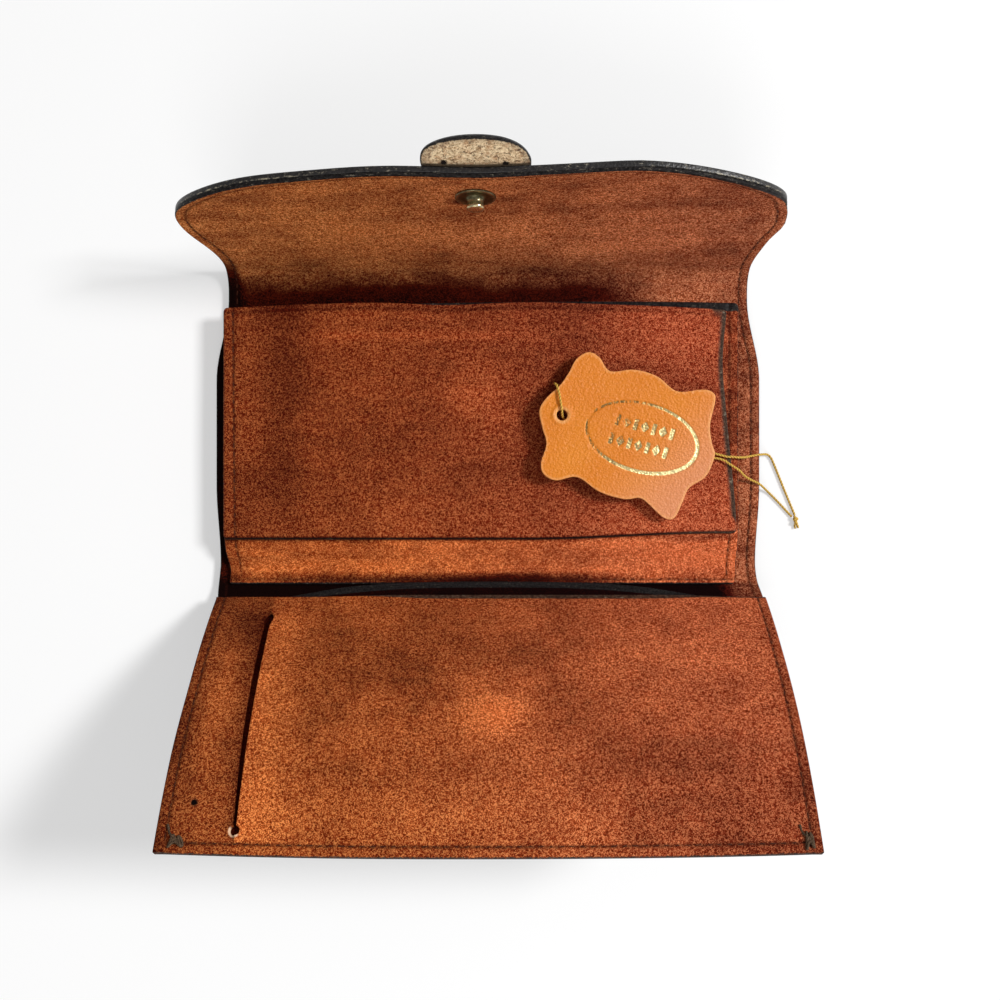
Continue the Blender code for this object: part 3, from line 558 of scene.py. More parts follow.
def brass_finish():
    """Dark antique brass, rubbed bright where it stands out, which is partly a painted highlight."""
    finish = Finish("antique_brass", Metallic=0.95)
    place = finish.node("ShaderNodeTexCoord", {}, {}, "Object").scaled(1000, 1000, 1000)
    wear_and_highlight = finish.attribute("wear_and_highlight").split()[0]
    patchy = place.noise(0.8, 4, 0.65)
    fine = place.noise(6, 3, 0.6)
    bright = (wear_and_highlight + (patchy - 0.5) * 0.8).step(0.35, 0.95)
    color = bright.mix((92, 86, 62), (224, 210, 164))
    color = (patchy.step(0.58, 0.8) * 0.5).mix(color, (66, 58, 42))
    rough = 0.42 - bright * 0.16 + (fine - 0.5) * 0.2
    normal = (fine * 0.4 + patchy * 0.6).bump(0.00006, 0.5)
    return finish.feed(Base_Color=color, Roughness=rough, Normal=normal)


def thread_finish(name, dark, light, pitch=1.5):
    """Twisted thread: shade in its furrows and fine fibres along the twist."""
    finish = Finish(name, Specular_IOR_Level=0.12)
    along, around, lobe = finish.attribute("strand").split()
    weave = finish.node("ShaderNodeCombineXYZ", {}, {0: along * 0.8, 1: around * 3, 2: lobe})
    fibre = weave.noise(pitch, 3, 0.7)
    color = (lobe * 0.75 + fibre * 0.4).step(0.1, 0.95).mix(dark, light)
    rough = 0.62 + (fibre - 0.5) * 0.3
    return finish.feed(Base_Color=color, Roughness=rough, Normal=fibre.bump(0.00005, 0.6))


# Camera, floor and light


def add_to_scene(name, data, place=(0, 0, 0)):
    piece = bpy.data.objects.new(name, data)
    piece.location = place
    bpy.context.scene.collection.objects.link(piece)
    return piece


def set_camera():
    """Straight above the wallet, 379 mm up, at the photograph's angle of view."""
    camera = bpy.data.cameras.new("camera")
    camera.lens = 38.5
    camera.sensor_width = 36
    camera.clip_start = 0.01
    bpy.context.scene.camera = add_to_scene("camera", camera, (0.0046, -0.0194, 0.379))


def set_floor():
    """A pale level floor that keeps the wallet's shadow.

    It glows white for the camera and for mirrors, and for nothing else, so that it shows white.
    """
    finish = Finish("pale_floor", Base_Color=display((208, 208, 208)), Roughness=0.9, Specular_IOR_Level=0.1)
    rays = ("Is Camera Ray", "Is Glossy Ray", "Is Transmission Ray")
    camera, glossy, clear = (finish.node("ShaderNodeLightPath", {}, {}, ray) for ray in rays)
    glow = finish.node("ShaderNodeEmission", {}, {"Strength": (camera + glossy + clear) * 0.36})
    plain = Wire(finish, finish.shader.outputs[0])
    lit = finish.node("ShaderNodeAddShader", {}, {0: plain, 1: glow})
    finish.tree.links.new(lit.socket, finish.tree.nodes["Material Output"].inputs["Surface"])
    mesh = bpy.data.meshes.new("floor")
    mesh.from_pydata([(-4, -4, 0), (4, -4, 0), (4, 4, 0), (-4, 4, 0)], [], [(0, 1, 2, 3)])
    mesh.materials.append(finish.material)
    add_to_scene("floor", mesh, (0, 0, -0.0002))


def add_lamp(name, place, width, height, power):
    """An area lamp that shines from place towards the middle of the wallet's back."""
    lamp = bpy.data.lights.new(name, "AREA")
    lamp.shape = "RECTANGLE"
    lamp.size, lamp.size_y = width, height
    lamp.energy = power
    x, y, z = place
    turn = (math.atan2(math.hypot(x, y), z), 0, math.atan2(x, -y))
    add_to_scene(name, lamp, place).rotation_euler = turn


def set_light():
    """A white room, a key lamp on the right and a broad one above."""
    world = bpy.data.worlds.new("room")
    bpy.context.scene.world = world
    world.use_nodes = True
    tree = world.node_tree
    ray = tree.nodes.new("ShaderNodeLightPath")
    strength = tree.nodes.new("ShaderNodeMapRange")
    strength.inputs["To Min"].default_value = 0.3
    background = tree.nodes["Background"]
    background.inputs["Color"].default_value = (1, 1, 1, 1)
    tree.links.new(ray.outputs["Is Camera Ray"], strength.inputs["Value"])
    tree.links.new(strength.outputs[0], background.inputs["Strength"])
    add_lamp("key_lamp", (1.6, 0.45, 1.5), 0.45, 0.45, 43)
    add_lamp("fill_lamp", (-0.1, -1.1, 1), 1, 0.8, 6)


# The thread and its knot

THREAD_DIAMETER = 0.75
THREAD_ROUTE = [
    (109, -25, 0.45), (108.1, -22.8, 0.4), (105.2, -15.8, 0.4), (101.6, -6.9, 0.4), (100.4, -4.4, 0.42),
    (98.9, -3.3, 0.75), (95.6, -3.5, 3.45), (92.6, -4, 4.4), (90.2, -4.5, 6.4), (87.4, -4.7, 9.55),
    (84.4, -4.5, 10.5), (81.2, -4.1, 10.65), (66, 0.6, 10.6), (42, 10.2, 10.9), (33, 14.8, 12.2),
    (27.6, 18.2, 13.35), (25.2, 19.5, 13.45), (23.6, 20.1, 14.2), (23.3, 20.2, 15.3), (23.9, 19.3, 16.35),
    (24.6, 17, 16.75), (25.2, 13.6, 16.65), (25.6, 11.2, 16.35), (25.7, 10.1, 15.5), (25.9, 9.2, 14.3),
    (26.6, 8.2, 13), (28.6, 6.8, 12), (34, 4.6, 11), (48, 0.5, 10.6), (68, -3.8, 10.6), (77.6, -4.8, 10.6),
    (81.4, -5.6, 10.65), (84, -7.2, 10.5), (87.3, -9.2, 9.55), (89.8, -11, 6.4), (92.6, -12.4, 4.4),
    (95.6, -13.7, 3.45), (99, -16.2, 0.75), (102.6, -19.7, 0.4), (107.9, -25.4, 0.45),
]


def smooth_route(points, steps, closed=False):
    """A Catmull-Rom curve: each stretch is a cubic of its two ends and their neighbours."""
    points = np.asarray(points, float)
    if closed:
        points = np.concatenate([points[-1:], points, points[:2]])
    else:
        points = np.concatenate([2 * points[:1] - points[1:2], points, 2 * points[-1:] - points[-2:-1]])
    share = (np.arange(steps) / steps)[None, :, None]
    before, start, end, after = (points[k:len(points) - 3 + k, None] for k in range(4))
    cubic = 2 * before - 5 * start + 4 * end - after + share * (3 * start - before - 3 * end + after)
    curve = (start + 0.5 * share * (end - before + share * cubic)).reshape(-1, points.shape[1])
    return curve if closed else np.concatenate([curve, points[-2:-1]])


def at_stations(route, lengths, stations):
    """The route's points at stations along it, each axis read off between its points."""
    return layer(*(np.interp(stations, lengths, axis) for axis in route.T))


def even_route(route, step):
    """The same line with its points an even step apart."""
    lengths = np.concatenate([[0], np.cumsum(np.linalg.norm(np.diff(route, axis=0), axis=1))])
    stations = np.linspace(0, lengths[-1], max(int(lengths[-1] / step), 2) + 1)
    return at_stations(route, lengths, stations), stations


def strand_piece(name, node, route, radius, material, twist=2.2, sides=12, step=0.12):
    """A twisted strand: a two-lobed section that turns on its way along the route, pointed at its ends."""
    route, stations = even_route(route, step)
    forward = directions(np.gradient(route, axis=0))
    across = directions(np.cross(forward, (0.13, 0.21, 0.97)))
    over = np.cross(across, forward)
    stations = stations[:, None]
    angle = np.linspace(0, 2 * np.pi, sides, endpoint=False)
    lobe = 0.5 + 0.5 * np.cos(2 * angle + 4 * np.pi * stations / twist)
    taper = np.sqrt(unit(np.minimum(stations, stations[-1] - stations) / radius))
    size = radius * (0.84 + 0.3 * lobe) * taper
    points = route[:, None] + (size * np.cos(angle))[..., None] * across[:, None]
    points = points + (size * np.sin(angle))[..., None] * over[:, None]
    faces = grid_faces(len(route), sides, closed=True)
    layers = {"strand": layer(stations, angle, lobe)}
    return make_piece(name, node, material, points * 0.001, faces, layers, 1e-7)


def make_thread(material):
    """The tag's thread from its knot over the tag and back, and the knot with its two short tails.

    The knot's loop adds waves of 1 and 2 to the round along its three axes.
    """
    curve = smooth_route(THREAD_ROUTE, 8)
    thread = strand_piece(
        "tag_thread_twist", "tag_thread", curve, 0.5 * THREAD_DIAMETER, material, step=0.16)
    turn = np.linspace(0, 2 * np.pi, 60)[::4]
    loop = layer(
        109.1 + 0.42 * np.sin(2 * turn) + 0.25 * np.sin(turn), -26.7 + 0.95 * np.cos(turn),
        0.95 + 0.42 * np.cos(2 * turn + 0.6))
    loop = smooth_route([(108.5, -24.9, 0.5), *loop, (109.9, -28.6, 0.45), (110.3, -29.4, 0.42)], 4)
    tail = smooth_route([(109.3, -27.3, 0.9), (108.9, -28.4, 0.5), (109.1, -29.6, 0.42)], 6)
    knot = strand_piece("thread_knot_loop", "thread_knot", loop, 0.4, material)
    tail_piece = strand_piece("thread_knot_tail", None, tail, 0.34, material)
    tuple(curve[0] * 0.001)
    (curve * 0.001).tolist()


# The body's two sheets


def rim_seam(x, s, rim):
    """Distance from a seam that runs along the whole rim."""
    return rim - STITCH_INSET


def plain_tone(x, s, depth):
    return 0


def body_block(start):
    """The pattern from start to the tip as a grid: rows along s, columns across each row's width."""
    rise = SHOULDER + TIP_HEIGHT * np.sin(np.linspace(0, np.pi / 2, 34))
    lower = np.linspace(FRONT_START, -LOWER_FLAT, 13)
    upper = np.linspace(UPPER_FLAT, UPPER_FOLD_END, 15)
    s = merge_steps(start + EDGE_STEPS[:14], np.linspace(start + 7, SHOULDER, 86), lower, upper, rise)
    half = body_half(s)[:, None]
    x = half * ACROSS
    s = s[:, None] + 0 * x
    return x, s, rim_distance(half - np.abs(x), np.minimum(tip_reach(x) - s, s - start))


def lining_tone(x, s, depth):
    """Painted shade in both folds, a painted shadow beside the page on the left, darker at the waist, paler
    rubbed bands above, and a painted shadow below the press stud's left side.
    """
    right = ease(x, 76, 88)
    # Painted shade in the upper fold, and in the lower fold, weaker on the right.
    fold = -1.85 * hump(s, 48.5, 13) * (1 - 0.95 * ease(x, 30, 62))
    fold = fold - 3.4 * hump(s, -54, 9.5) * (1 - 0.8 * right)
    # Painted shadow of the page along the left margin; darker still on the left at the waist.
    margin = (-0.1 - 0.3 * right - 2.4 * ease(-x, 84, 90)) * (1 - ease(np.abs(s - 3), 40, 50))
    margin = margin - 1.1 * ease(-x, 85, 88.5) * window(s, 44, 54, 62, 80)
    slant = 0.6 * hump(s - 0.12 * x, 76, 4.5) * hump(x, 52, 26)
    bands = patches(
        x, s, (0.45, 10, 45, 91, 5.5), (0.45, -55, 26, 98, 5), (-0.7, 78, 7, 80, 5),
        (-0.45, 38, 34, 106, 4.5), (-0.35, -52, 18, 116, 4))
    # Near the stud: a darker and a paler bell, and a painted shadow (the -3 bell) below its left side.
    stud = patches(x, s, (-0.7, 8, 7, 113, 4.5), (0.7, -11, 5, 116, 3), (-3, -5.5, 3.6, TIP - 20, 2.6))
    return fold + margin + slant + bands + stud + 0.2 + 0.45 * ease(s, 58, 84)


def flap_paint(x, s, rim):
    """The edge paint is thin along the sides and widens to nearly a millimetre round the flap's tip."""
    tip = 0.35 * ease(s, SHOULDER + 2, SHOULDER + 12) + 0.05 * ease(s, SHOULDER + 16, SHOULDER + 28)
    return rim - 0.22 - tip - 0.7 * hump(x, 82, 16) * ease(s, SHOULDER + 1, SHOULDER + 6)


def make_body(black, lining):
    cut = {"flat": (0.2, 0.2866), "held": "folded", "rests_on": ["floor"], "area": 0.0527}
    sheet_piece(
        "outer_leather_sheet", "outer_leather", "black_leather", black, [body_block(LIP + 1)], body_place,
        0, 1.62, lambda x, s, rim: rim - 0.3, plain_tone, rim_seam, 0.35, **cut)
    sheet_piece(
        "suede_lining", "lining", "brown_suede", lining, [body_block(LIP + 0.7)], body_place,
        1.66, LINING_TOP, flap_paint, lining_tone,
        lambda x, s, rim: rim - STITCH_INSET + 0.55 * ease(s, SHOULDER + 8, SHOULDER + 20), **cut)


# The front pocket


def backing_block():
    """The backing sheet: its top edge rises 9.6 mm in an arch, one minus the cube of the way out."""
    top = POCKET_EDGE + 9.6 * (1 - unit(np.abs(93.5 * ACROSS - 2.5) / 75) ** 3)
    s = LIP + (top - LIP) * shares(100, 0.04, 44, EDGE_STEPS[:10])[:, None]
    half = body_half(s)
    x = half * ACROSS
    return x, s, rim_distance(half - np.abs(x), np.minimum(top - s, s - LIP))


def slit_run(s):
    """The share of the way down the slit."""
    return unit((SLIT_TOP - s) / SLIT_LENGTH)


def slit_line(s):
    """The slit's middle: it slants 1.8 mm towards the middle on its way down."""
    run = np.clip((SLIT_TOP - s) / SLIT_LENGTH, 0, 1.03)
    return 20.6 - float(half_width(SOCKET[1])) + 1.8 * run


def slit_share(s):
    """1 along the slit, eased to 0 above its top and below its hole."""
    return window(-s, -SLIT_TOP - 2.5, 2.5 - SLIT_TOP, 1 - SLIT_END, 6 - SLIT_END)


def slit_gap(s):
    """Half the slit's opening: a notch at its top, a bow that narrows to a neck, and a round hole."""
    run = slit_run(s)
    bow = 0.62 * np.sqrt(unit(run * 40)) * (1 - 0.45 * run) + 0.75 * hump(run, 0.035, 0.035)
    bow = np.where((s > SLIT_END) & (s < SLIT_TOP), bow, 0)
    return np.maximum(bow, HOLE_RADIUS * quarter(np.abs(s - HOLE_CENTER) / HOLE_RADIUS))


def pocket_blocks():
    """The pocket sheet in two blocks, left and right of the slit, which meet above and below it."""
    edge = np.array([0, 0.08, 0.25, 0.6, 1.1, 1.7, 2.2, 2.6, 3, 3.4, 4, 5.5])
    hole = HOLE_CENTER + HOLE_RADIUS * np.cos(np.linspace(0, np.pi, 15))
    notch = SLIT_TOP - np.array([0, 0.15, 0.5, 1, 2, 3.5])
    plain = np.linspace(LIP + 7, POCKET_EDGE - 4, 48)
    s = merge_steps(LIP + edge, POCKET_EDGE - edge[:-2], plain, hole, notch)[:, None]
    half, middle, gap = body_half(s), slit_line(s), slit_gap(s)
    wide = gap + 1.25 * np.sin(np.pi * slit_run(s) ** 0.75) ** 0.8
    left = -half, middle - wide, shares(15 / 0.95, 0.5, 1, EDGE_STEPS[:15])
    right = middle + gap, half, shares(160, 0.07, 52)
    blocks = []
    for low, high, share in (left, right):
        x = low + (high - low) * share
        rows = s + 0 * x
        rim = rim_distance(half - np.abs(x), np.minimum(POCKET_EDGE - rows, rows - LIP))
        cut = np.where(x < middle, middle - wide - x, x - middle - gap)
        ends = np.minimum(np.abs(rows - SLIT_TOP), np.abs(rows - HOLE_CENTER + HOLE_RADIUS))
        slit = np.where(gap > 0, cut, np.hypot(x - middle, ends))
        blocks.append((x, rows, np.minimum(rim, np.maximum(slit, 0))))
    return blocks


def pocket_place(x, s, depth):
    """The swollen course, with the slit's right lip curled up and its left lip pressed down."""
    away = x - slit_line(s)
    side = ease(away, -0.4, 0.3)
    lips = 1.25 * fall(away, 3.5) * side - 0.25 * fall(-away, 2.5) * (1 - side)
    lips = lips * slit_share(s)
    s = s + 1.5 * ease(s, POCKET_EDGE - 6, POCKET_EDGE) * window(x, -62, -30, 62, 90)
    hole = 0.22 * hump(np.hypot(away, s - HOLE_CENTER), 1.9, 0.6)
    return swollen_place(x, s, depth + lips + hole)


def pocket_tone(x, s, depth):
    """Soft stains, a painted highlight on the swelling and on the slit's raised right lip, paler along the
    lip, darker beside the slit with a painted shadow of that lip, and darker above it.
    """
    away = x - slit_line(s)
    side = ease(away, -0.5, 0.5)
    # The bell over the socket is a painted highlight on the swelling; the others are stains.
    tone_patches = patches(
        x, s, (-0.5, -40, 22, -92, 18), (-0.45, 62, 24, -122, 9), (-0.35, 22, 16, -84, 8),
        (1.5, 1, 11, SOCKET[1] + 1, 8), (0.45, -30, 60, -141, 6))
    # Painted highlight on the slit's raised right lip.
    tone_patches = tone_patches + 0.6 * hump(away, 6, 7) * side * slit_share(s)
    # Left of the slit the sheet is darker, with a painted shadow of the raised right lip along the slit and
    # painted shade near its top.
    left = (1 - side) * (-0.55 - 1.1 * fall(-away, 1.8) * slit_share(s))
    left = left - 0.5 * hump(away, -6, 8) * hump(s, SLIT_TOP - 6, 12)
    edge = 0.3 * ease(x, 20, 70) - 0.6 * ease(x, 20, 75) * ease(-s, 112, 134)
    edge = edge + 0.55 * hump(x, -84, 3.5) * window(-s, 78, 90, 120, 134)
    return tone_patches + left + edge - 0.5 * hump(x, 95, 4) - 0.5 * hump(x, -95, 3) + 0.25


def pocket_seam(x, s, rim):
    """Distance from the seam round the sheet's left side, lip and right side; its upper edge is free."""
    return np.minimum(half_width(s) - np.abs(x), s - LIP) - STITCH_INSET


def top_paint(x, s, rim):
    """Edge paint at the front sheet's sides, wider on its upper edge's middle and right."""
    upper = 0.25 + 2.3 * ease(x, -50, -20) * (1 - 0.75 * ease(x, 55, 84))
    return np.minimum(pocket_seam(x, s, rim) + STITCH_INSET - 0.12, POCKET_EDGE - s - upper)


def backing_place(x, s, depth):
    """The swollen course, with the arch's top bent up 1.4 mm over the page's lower edge."""
    return swollen_place(x, s, depth + 1.4 * ease(s, -54, -49.5))


def arch_share(s):
    """1 where the backing stands clear of the front sheet's edge."""
    return ease(s, POCKET_EDGE - 1, POCKET_EDGE)


def backing_tone(x, s, depth):
    """Painted shade where the slit shows it, and in the shade above the front sheet's edge."""
    return -1.5 * (1 - arch_share(s)) * hump(x - slit_line(s), 0, 6) - 2.2 * arch_share(s)


def make_pocket(backing_suede, pocket_suede):
    cut = {"held": "stretched", "rests_on": ["suede_lining"], "area": 0.1904 * 0.0945}
    sheet_piece(
        "front_pocket_backing_sheet", "front_pocket_backing", "brown_suede", backing_suede,
        [backing_block()], backing_place, 2.76, BACKING_TOP,
        lambda x, s, rim: rim - 0.15 - 3.2 * arch_share(s), backing_tone, lambda x, s, rim: 9,
        flat=(0.1904, 0.1014), **cut)
    sheet_piece(
        "front_pocket_top_sheet", "front_pocket_sheet", "brown_suede", pocket_suede, pocket_blocks(),
        pocket_place, 3.9, POCKET_TOP, top_paint, pocket_tone, pocket_seam, 0.35,
        flat=(0.1904, 0.0945), **cut)


# The page


def page_block(right, bottom, top, flare=None):
    """A page sheet: columns from its left to its right side, rows from its bottom to its top line.

    flare(s) moves the right side out or in, and every point with it in proportion.
    """
    width = right - PAGE_LEFT
    middle = PAGE_LEFT + 0.5 * width
    out = width * (shares(175, 0.06, 60) - 0.5)
    low, high = bottom(middle + out), top(middle + out)
    s = low + (high - low) * shares(90, 0.12, 40)[:, None]
    end = np.minimum(s - low, high - s)
    inset = roundness(end, 1.5)
    out = out * (1 - 2 * inset / width)
    rim = rim_distance(0.5 * width - inset - np.abs(out), end)
    if flare:
        out = out + flare(s) * unit(2 * out / width) ** 2
    return middle + out, s, rim


def page_back_bottom(x):
    """The back sheet's lower edge is straight."""
    return 0 * x


def page_back_top(x):
    """The back sheet's upper edge: a flat parabola, highest right of the middle."""
    return 99.2 - 1.5 * ((x - 40) / 90) ** 2


def page_front_bottom(x):
    """The front sheet's lower edge rises 1.9 mm towards its right end."""
    return 17.1 + 1.9 * ease(x, 15, 80)


def page_front_top(x):
    """The front sheet's upper edge: a flat parabola with a dip and a small rise near its middle."""
    return 98.9 - 2.5 * ((x + 10) / 90) ** 2 - 1.1 * hump(x, -14, 16) + 0.2 * hump(x, 22, 12)


def page_front_flare(s):
    """The front sheet's right side bows in 1.9 mm at three quarters of its height and out at its foot."""
    return 2.8 * (1 - ease(s, 18, 62)) - 1.9 * hump(s, 78, 16)


def page_tone(x, s, depth):
    """A dark smudged column on the left, a pale rubbed patch, brighter along the right side."""
    tone_patches = -0.4 * hump(x, -70, 8) * ease(s, 20, 40) - 0.42 + 0.55 * hump(x, -3, 13) * hump(s, 66, 11)
    tone_patches = tone_patches + 0.72 * ease(x, 25, 70) * (0.35 + 0.65 * hump(s, 88, 12) + 0.65 * hump(s, 26, 12))
    tone_patches = tone_patches + 0.35 * hump(s, 87, 1.6) * window(x, -70, -50, 10, 30)
    tone_patches = tone_patches + 0.3 * (1 - ease(s, 20, 45)) * ease(x, -60, -20)
    tone_patches = tone_patches - 3 * (1 - ease(s - page_front_bottom(x), 0.3, 1))
    return tone_patches - 0.25 * hump(s, 99, 3) - 0.4 * hump(page_front_top(x) - s, 1.9, 0.6)


def strip_tone(x, s, depth):
    """The page's lower strip is brighter, more so to the right, with a painted shadow under the front sheet's
    edge and painted shade along its foot; elsewhere the sheet is dark.
    """
    strip = 0.62 + 0.3 * hump(x, -8, 34) + 0.95 * ease(x, 0, 75) - 0.25 * ease(-x, 25, 60)
    # The last bell is a painted shadow just under the front sheet's lower edge.
    strip = strip - 0.6 * hump(x, -89, 4) - 0.5 * hump(s, 3.2, 1.3) - 1.2 * hump(s, 17.6, 1)
    strip = strip + 0.35 * hump(s - 0.05 * x, 9, 2.2) * hump(x, -50, 40)
    # Painted shade along the strip's foot.
    strip = strip - 2.6 * (1 - ease(s, 0.5, 5.2)) * hump(x, -2, 60)
    return np.where(s < 20.5, strip, np.where(x > 76, -0.35 + 0.4 * ease(s, 60, 90), -1.2))


def strip_column(s):
    """The strip's left seam leans 1.1 mm towards the middle on its way down."""
    return PAGE_LEFT + 3.8 + 1.1 * (1 - ease(s, 2, 16))


def page_column(s):
    """The front sheet's left seam leans 0.7 mm towards the edge on its way up."""
    return PAGE_LEFT + 3.3 + 0.7 * unit((94.6 - s) / 75)


def strip_seam(x, s, rim):
    """Distance from the strip's seams: one column near each end and a row above its lower edge."""
    ends = np.minimum(np.abs(x - strip_column(s)), np.abs(x - PAGE_BACK_RIGHT + 3.2))
    return np.minimum(ends, np.abs(s - 1.7))


def page_paint(x, s, rim):
    """Edge paint, wide up the front sheet's right side and at its foot there, none along its top."""
    side = 1.6 * ease(x, 76.5, 79) * ease(s, 22, 26) + 0.7 * ease(x, 50, 80) * (1 - ease(s, 19, 21))
    return rim - 0.1 - side + 0.6 * ease(s, 94, 96)


def make_page(page_suede, strip_suede):
    cut = {"held": "laid", "rests_on": ["suede_lining"]}
    sheet_piece(
        "page_back_leaf", "page_back_sheet", "brown_suede", strip_suede,
        [page_block(PAGE_BACK_RIGHT, page_back_bottom, page_back_top)], page_place, 0, 1,
        lambda x, s, rim: np.minimum(np.minimum(rim - 0.2, s - 0.6), 95.9 - s), strip_tone, strip_seam,
        flat=(0.1782, 0.0992), **cut)
    sheet_piece(
        "page_front_leaf", "page_front_sheet", "brown_suede", page_suede,
        [page_block(PAGE_FRONT_RIGHT, page_front_bottom, page_front_top, page_front_flare)], page_place,
        1.06, PAGE_TOP, page_paint, page_tone,
        lambda x, s, rim: np.where(x < 0, np.abs(x - page_column(s)), 9), 0.4, flat=(0.1745, 0.0818), **cut)


# The pull tab


def tab_place(x, s, depth):
    """Along the flap's outside to its tip, then 42 degrees outwards round a 5 mm bend; depth is outwards."""
    flap = body_place(x, TIP + np.minimum(s, 0), -0.12 - depth)
    start = body_place(x, TIP, -0.12) * 1000
    runs = [(0.6, 0), (5 * TAB_TURN, -TAB_TURN), (30, 0)]
    course = walk(runs, np.maximum(s, 0), start[..., 1], start[..., 2], UPPER_ANGLE + CURL_ANGLE)
    return np.where((s <= 0)[..., None], flap, set_off(start[..., 0], *course, -depth))


def tab_block():
    """A tab with two rounded ends: its half width is the root of one minus a power of the share run."""
    s = -6.85 + 17.15 * np.sin(np.linspace(-np.pi / 2, np.pi / 2, 66))[:, None]
    ends = unit(s / TAB_END) ** 2.6 + unit((TAB_START - s) / TAB_HALF) ** 2
    half = TAB_HALF * np.sqrt(unit(1 - ends))
    t = 2 * shares(32, 0.275, 16, EDGE_STEPS[:15]) - 1
    x = half * t
    out = unit(1 - (x / TAB_HALF) ** 2)
    end = np.where(s > -4, TAB_END * out**0.385 - s, s - TAB_START + TAB_HALF * np.sqrt(out))
    rim = rim_distance(half - np.abs(x), end)
    return TAB_MIDDLE + x - hump(s, 6.5, 3.5) * unit(-t) ** 2, s + 0 * x, rim


def make_tab(material):
    sheet_piece(
        "pull_tab_leather", "pull_tab", "natural_tan", material, [tab_block()], tab_place, 0, 1.4,
        lambda x, s, rim: rim - 0.35 - 0.7 * ease(s, 6, 9.8), lambda x, s, depth: depth > 0.7,
        lambda x, s, rim: rim + 9, 0.35, flat=(0.0318, 0.0336), held="stretched",
        rests_on=["outer_leather_sheet"], area=0.00085)


# The press stud


def rounded_profile(points):
    """The profile with each inner corner turned into a short parabola between points near it."""
    points = np.asarray(points, float)
    share = np.linspace(0, 1, 5)[:, None]
    curve = [points[:1]]
    for before, corner, after in zip(points, points[1:], points[2:]):
        reach = 0.45 * min(np.linalg.norm(corner - before), np.linalg.norm(after - corner), 0.5)
        start, end = (corner + reach * directions(point - corner) for point in (before, after))
        curve.append((1 - share) ** 2 * start + 2 * share * (1 - share) * corner + share**2 * end)
    return np.concatenate([*curve, points[-1:]])


def turned_piece(name, node, profile, x, s, wear_and_highlight, material):
    """A turned fitting: the profile of (radius, height) swept once round an axis through a sheet.

    The axis starts at the pattern point (x, s) of the outer face and runs inwards.
    """
    center = body_place(x, s, 0)
    inward = directions(body_place(x, s, 1) - center)
    side = np.array([1, 0, 0])
    profile = rounded_profile(profile)
    radius, height = profile[:, :1], profile[:, 1:]
    angle = np.linspace(0, 2 * np.pi, 72, endpoint=False)
    points = (radius * np.cos(angle))[..., None] * side + height[..., None] * inward
    points = points + (radius * np.sin(angle))[..., None] * np.cross(inward, side)
    faces = grid_faces(len(profile), 72, closed=True)
    layers = {"wear_and_highlight": layer(wear_and_highlight(radius, height), radius, angle)}
    make_piece(name, node, material, center + points * 0.001, faces, layers, 1e-6)


def make_press_stud(brass):
    """Cap, stud, socket and eyelet, each turned about the flap's or the front panel's own direction."""
    flap = (-1.2, TIP - 15.9)
    top = LINING_TOP + 0.05
    cap = [
        (0, -4.2), (2.4, -4.12), (4.4, -3.75), (5.7, -3.1), (6.2, -2.5), (6.15, -1.75), (1.9, -1.72),
        (1.9, 2.7), (0, 2.7),
    ]
    stud = [
        (0, 0), (6, 0), (6.25, 0.3), (6.1, 0.68), (5.5, 0.8), (4.9, 0.62), (4.4, 0.45), (3.4, 0.5),
        (2.9, 0.75), (2.6, 1.2), (2.4, 1.8), (2.4, 2.4), (2.65, 2.9), (2.8, 3.5), (2.65, 4), (2, 4.35),
        (0.9, 4.5), (0, 4.5),
    ]
    socket = [
        (0, -0.05), (6.1, -0.05), (6.2, -1), (5.9, -1.6), (5.3, -2), (5.2, -4.4), (4.7, -5.1),
        (3.3, -5.15), (2.85, -4.8), (2.7, -4.2), (2.9, -2.4), (2.7, -0.9), (0, -0.8),
    ]
    eyelet = [(0, 0), (1.9, 0), (1.9, 2.75), (5.3, 2.75), (5.3, 3.2), (4.6, 3.55), (0, 3.6)]
    turned_piece("snap_cap_domed", "snap_cap", cap, *flap, lambda r, h: 0.75 - 0.5 * hump(r, 6.2, 0.6), brass)
    turned_piece(
        # The stud's neck, ball and rim are brighter, partly as a painted highlight.
        "snap_stud_ball", "snap_stud", np.add(stud, (0, top)), *flap,
        lambda r, h: 0.35 + 0.5 * ease(h, top + 1, top + 2.6) + 0.25 * hump(r, 5.7, 0.5), brass)
    turned_piece(
        "snap_socket_ring", "snap_socket", socket, *SOCKET,
        lambda r, h: 0.35 + 0.4 * ease(-h, 3.5, 5), brass)
    turned_piece("socket_eyelet_disc", "socket_eyelet", eyelet, *SOCKET, lambda r, h: 0.3, brass)


# The loose tag

TAG_OUTLINE = [
    (17.9, 11), (20.4, 15.4), (24.9, 19.6), (28, 24), (30.6, 28.6), (34.7, 31), (38.5, 29.2),
    (42.2, 24.6), (50.4, 25.1), (58.2, 22.9), (65.2, 17.8), (74, 18.4), (77.6, 17.4), (78.4, 14.6),
    (76.6, 6.4), (77.2, 0.2), (78.2, -4.2), (75.2, -11.2), (69.4, -15.3), (67, -20.4), (64.2, -25.6),
    (60.6, -25.5), (55.8, -21.2), (52.4, -18.8), (46.7, -19.1), (38.4, -16.6), (30.9, -11.7),
    (23.6, -12.8), (19.4, -10.6), (18.5, -6.8), (20.3, -0.4), (18.9, 5.2),
]
TAG_HOLE = (25.7, 9.5)
TAG_REST = 11.25


def tag_height(x, y):
    """The tag's underside: a slope that rises to the head, with its legs a little curled."""
    curl = 0.25 * np.sin(x / 9) * np.sin(y / 11) * ease(np.abs(y - 2), 10, 20)
    return TAG_REST + (78 - x) * 0.055 + curl


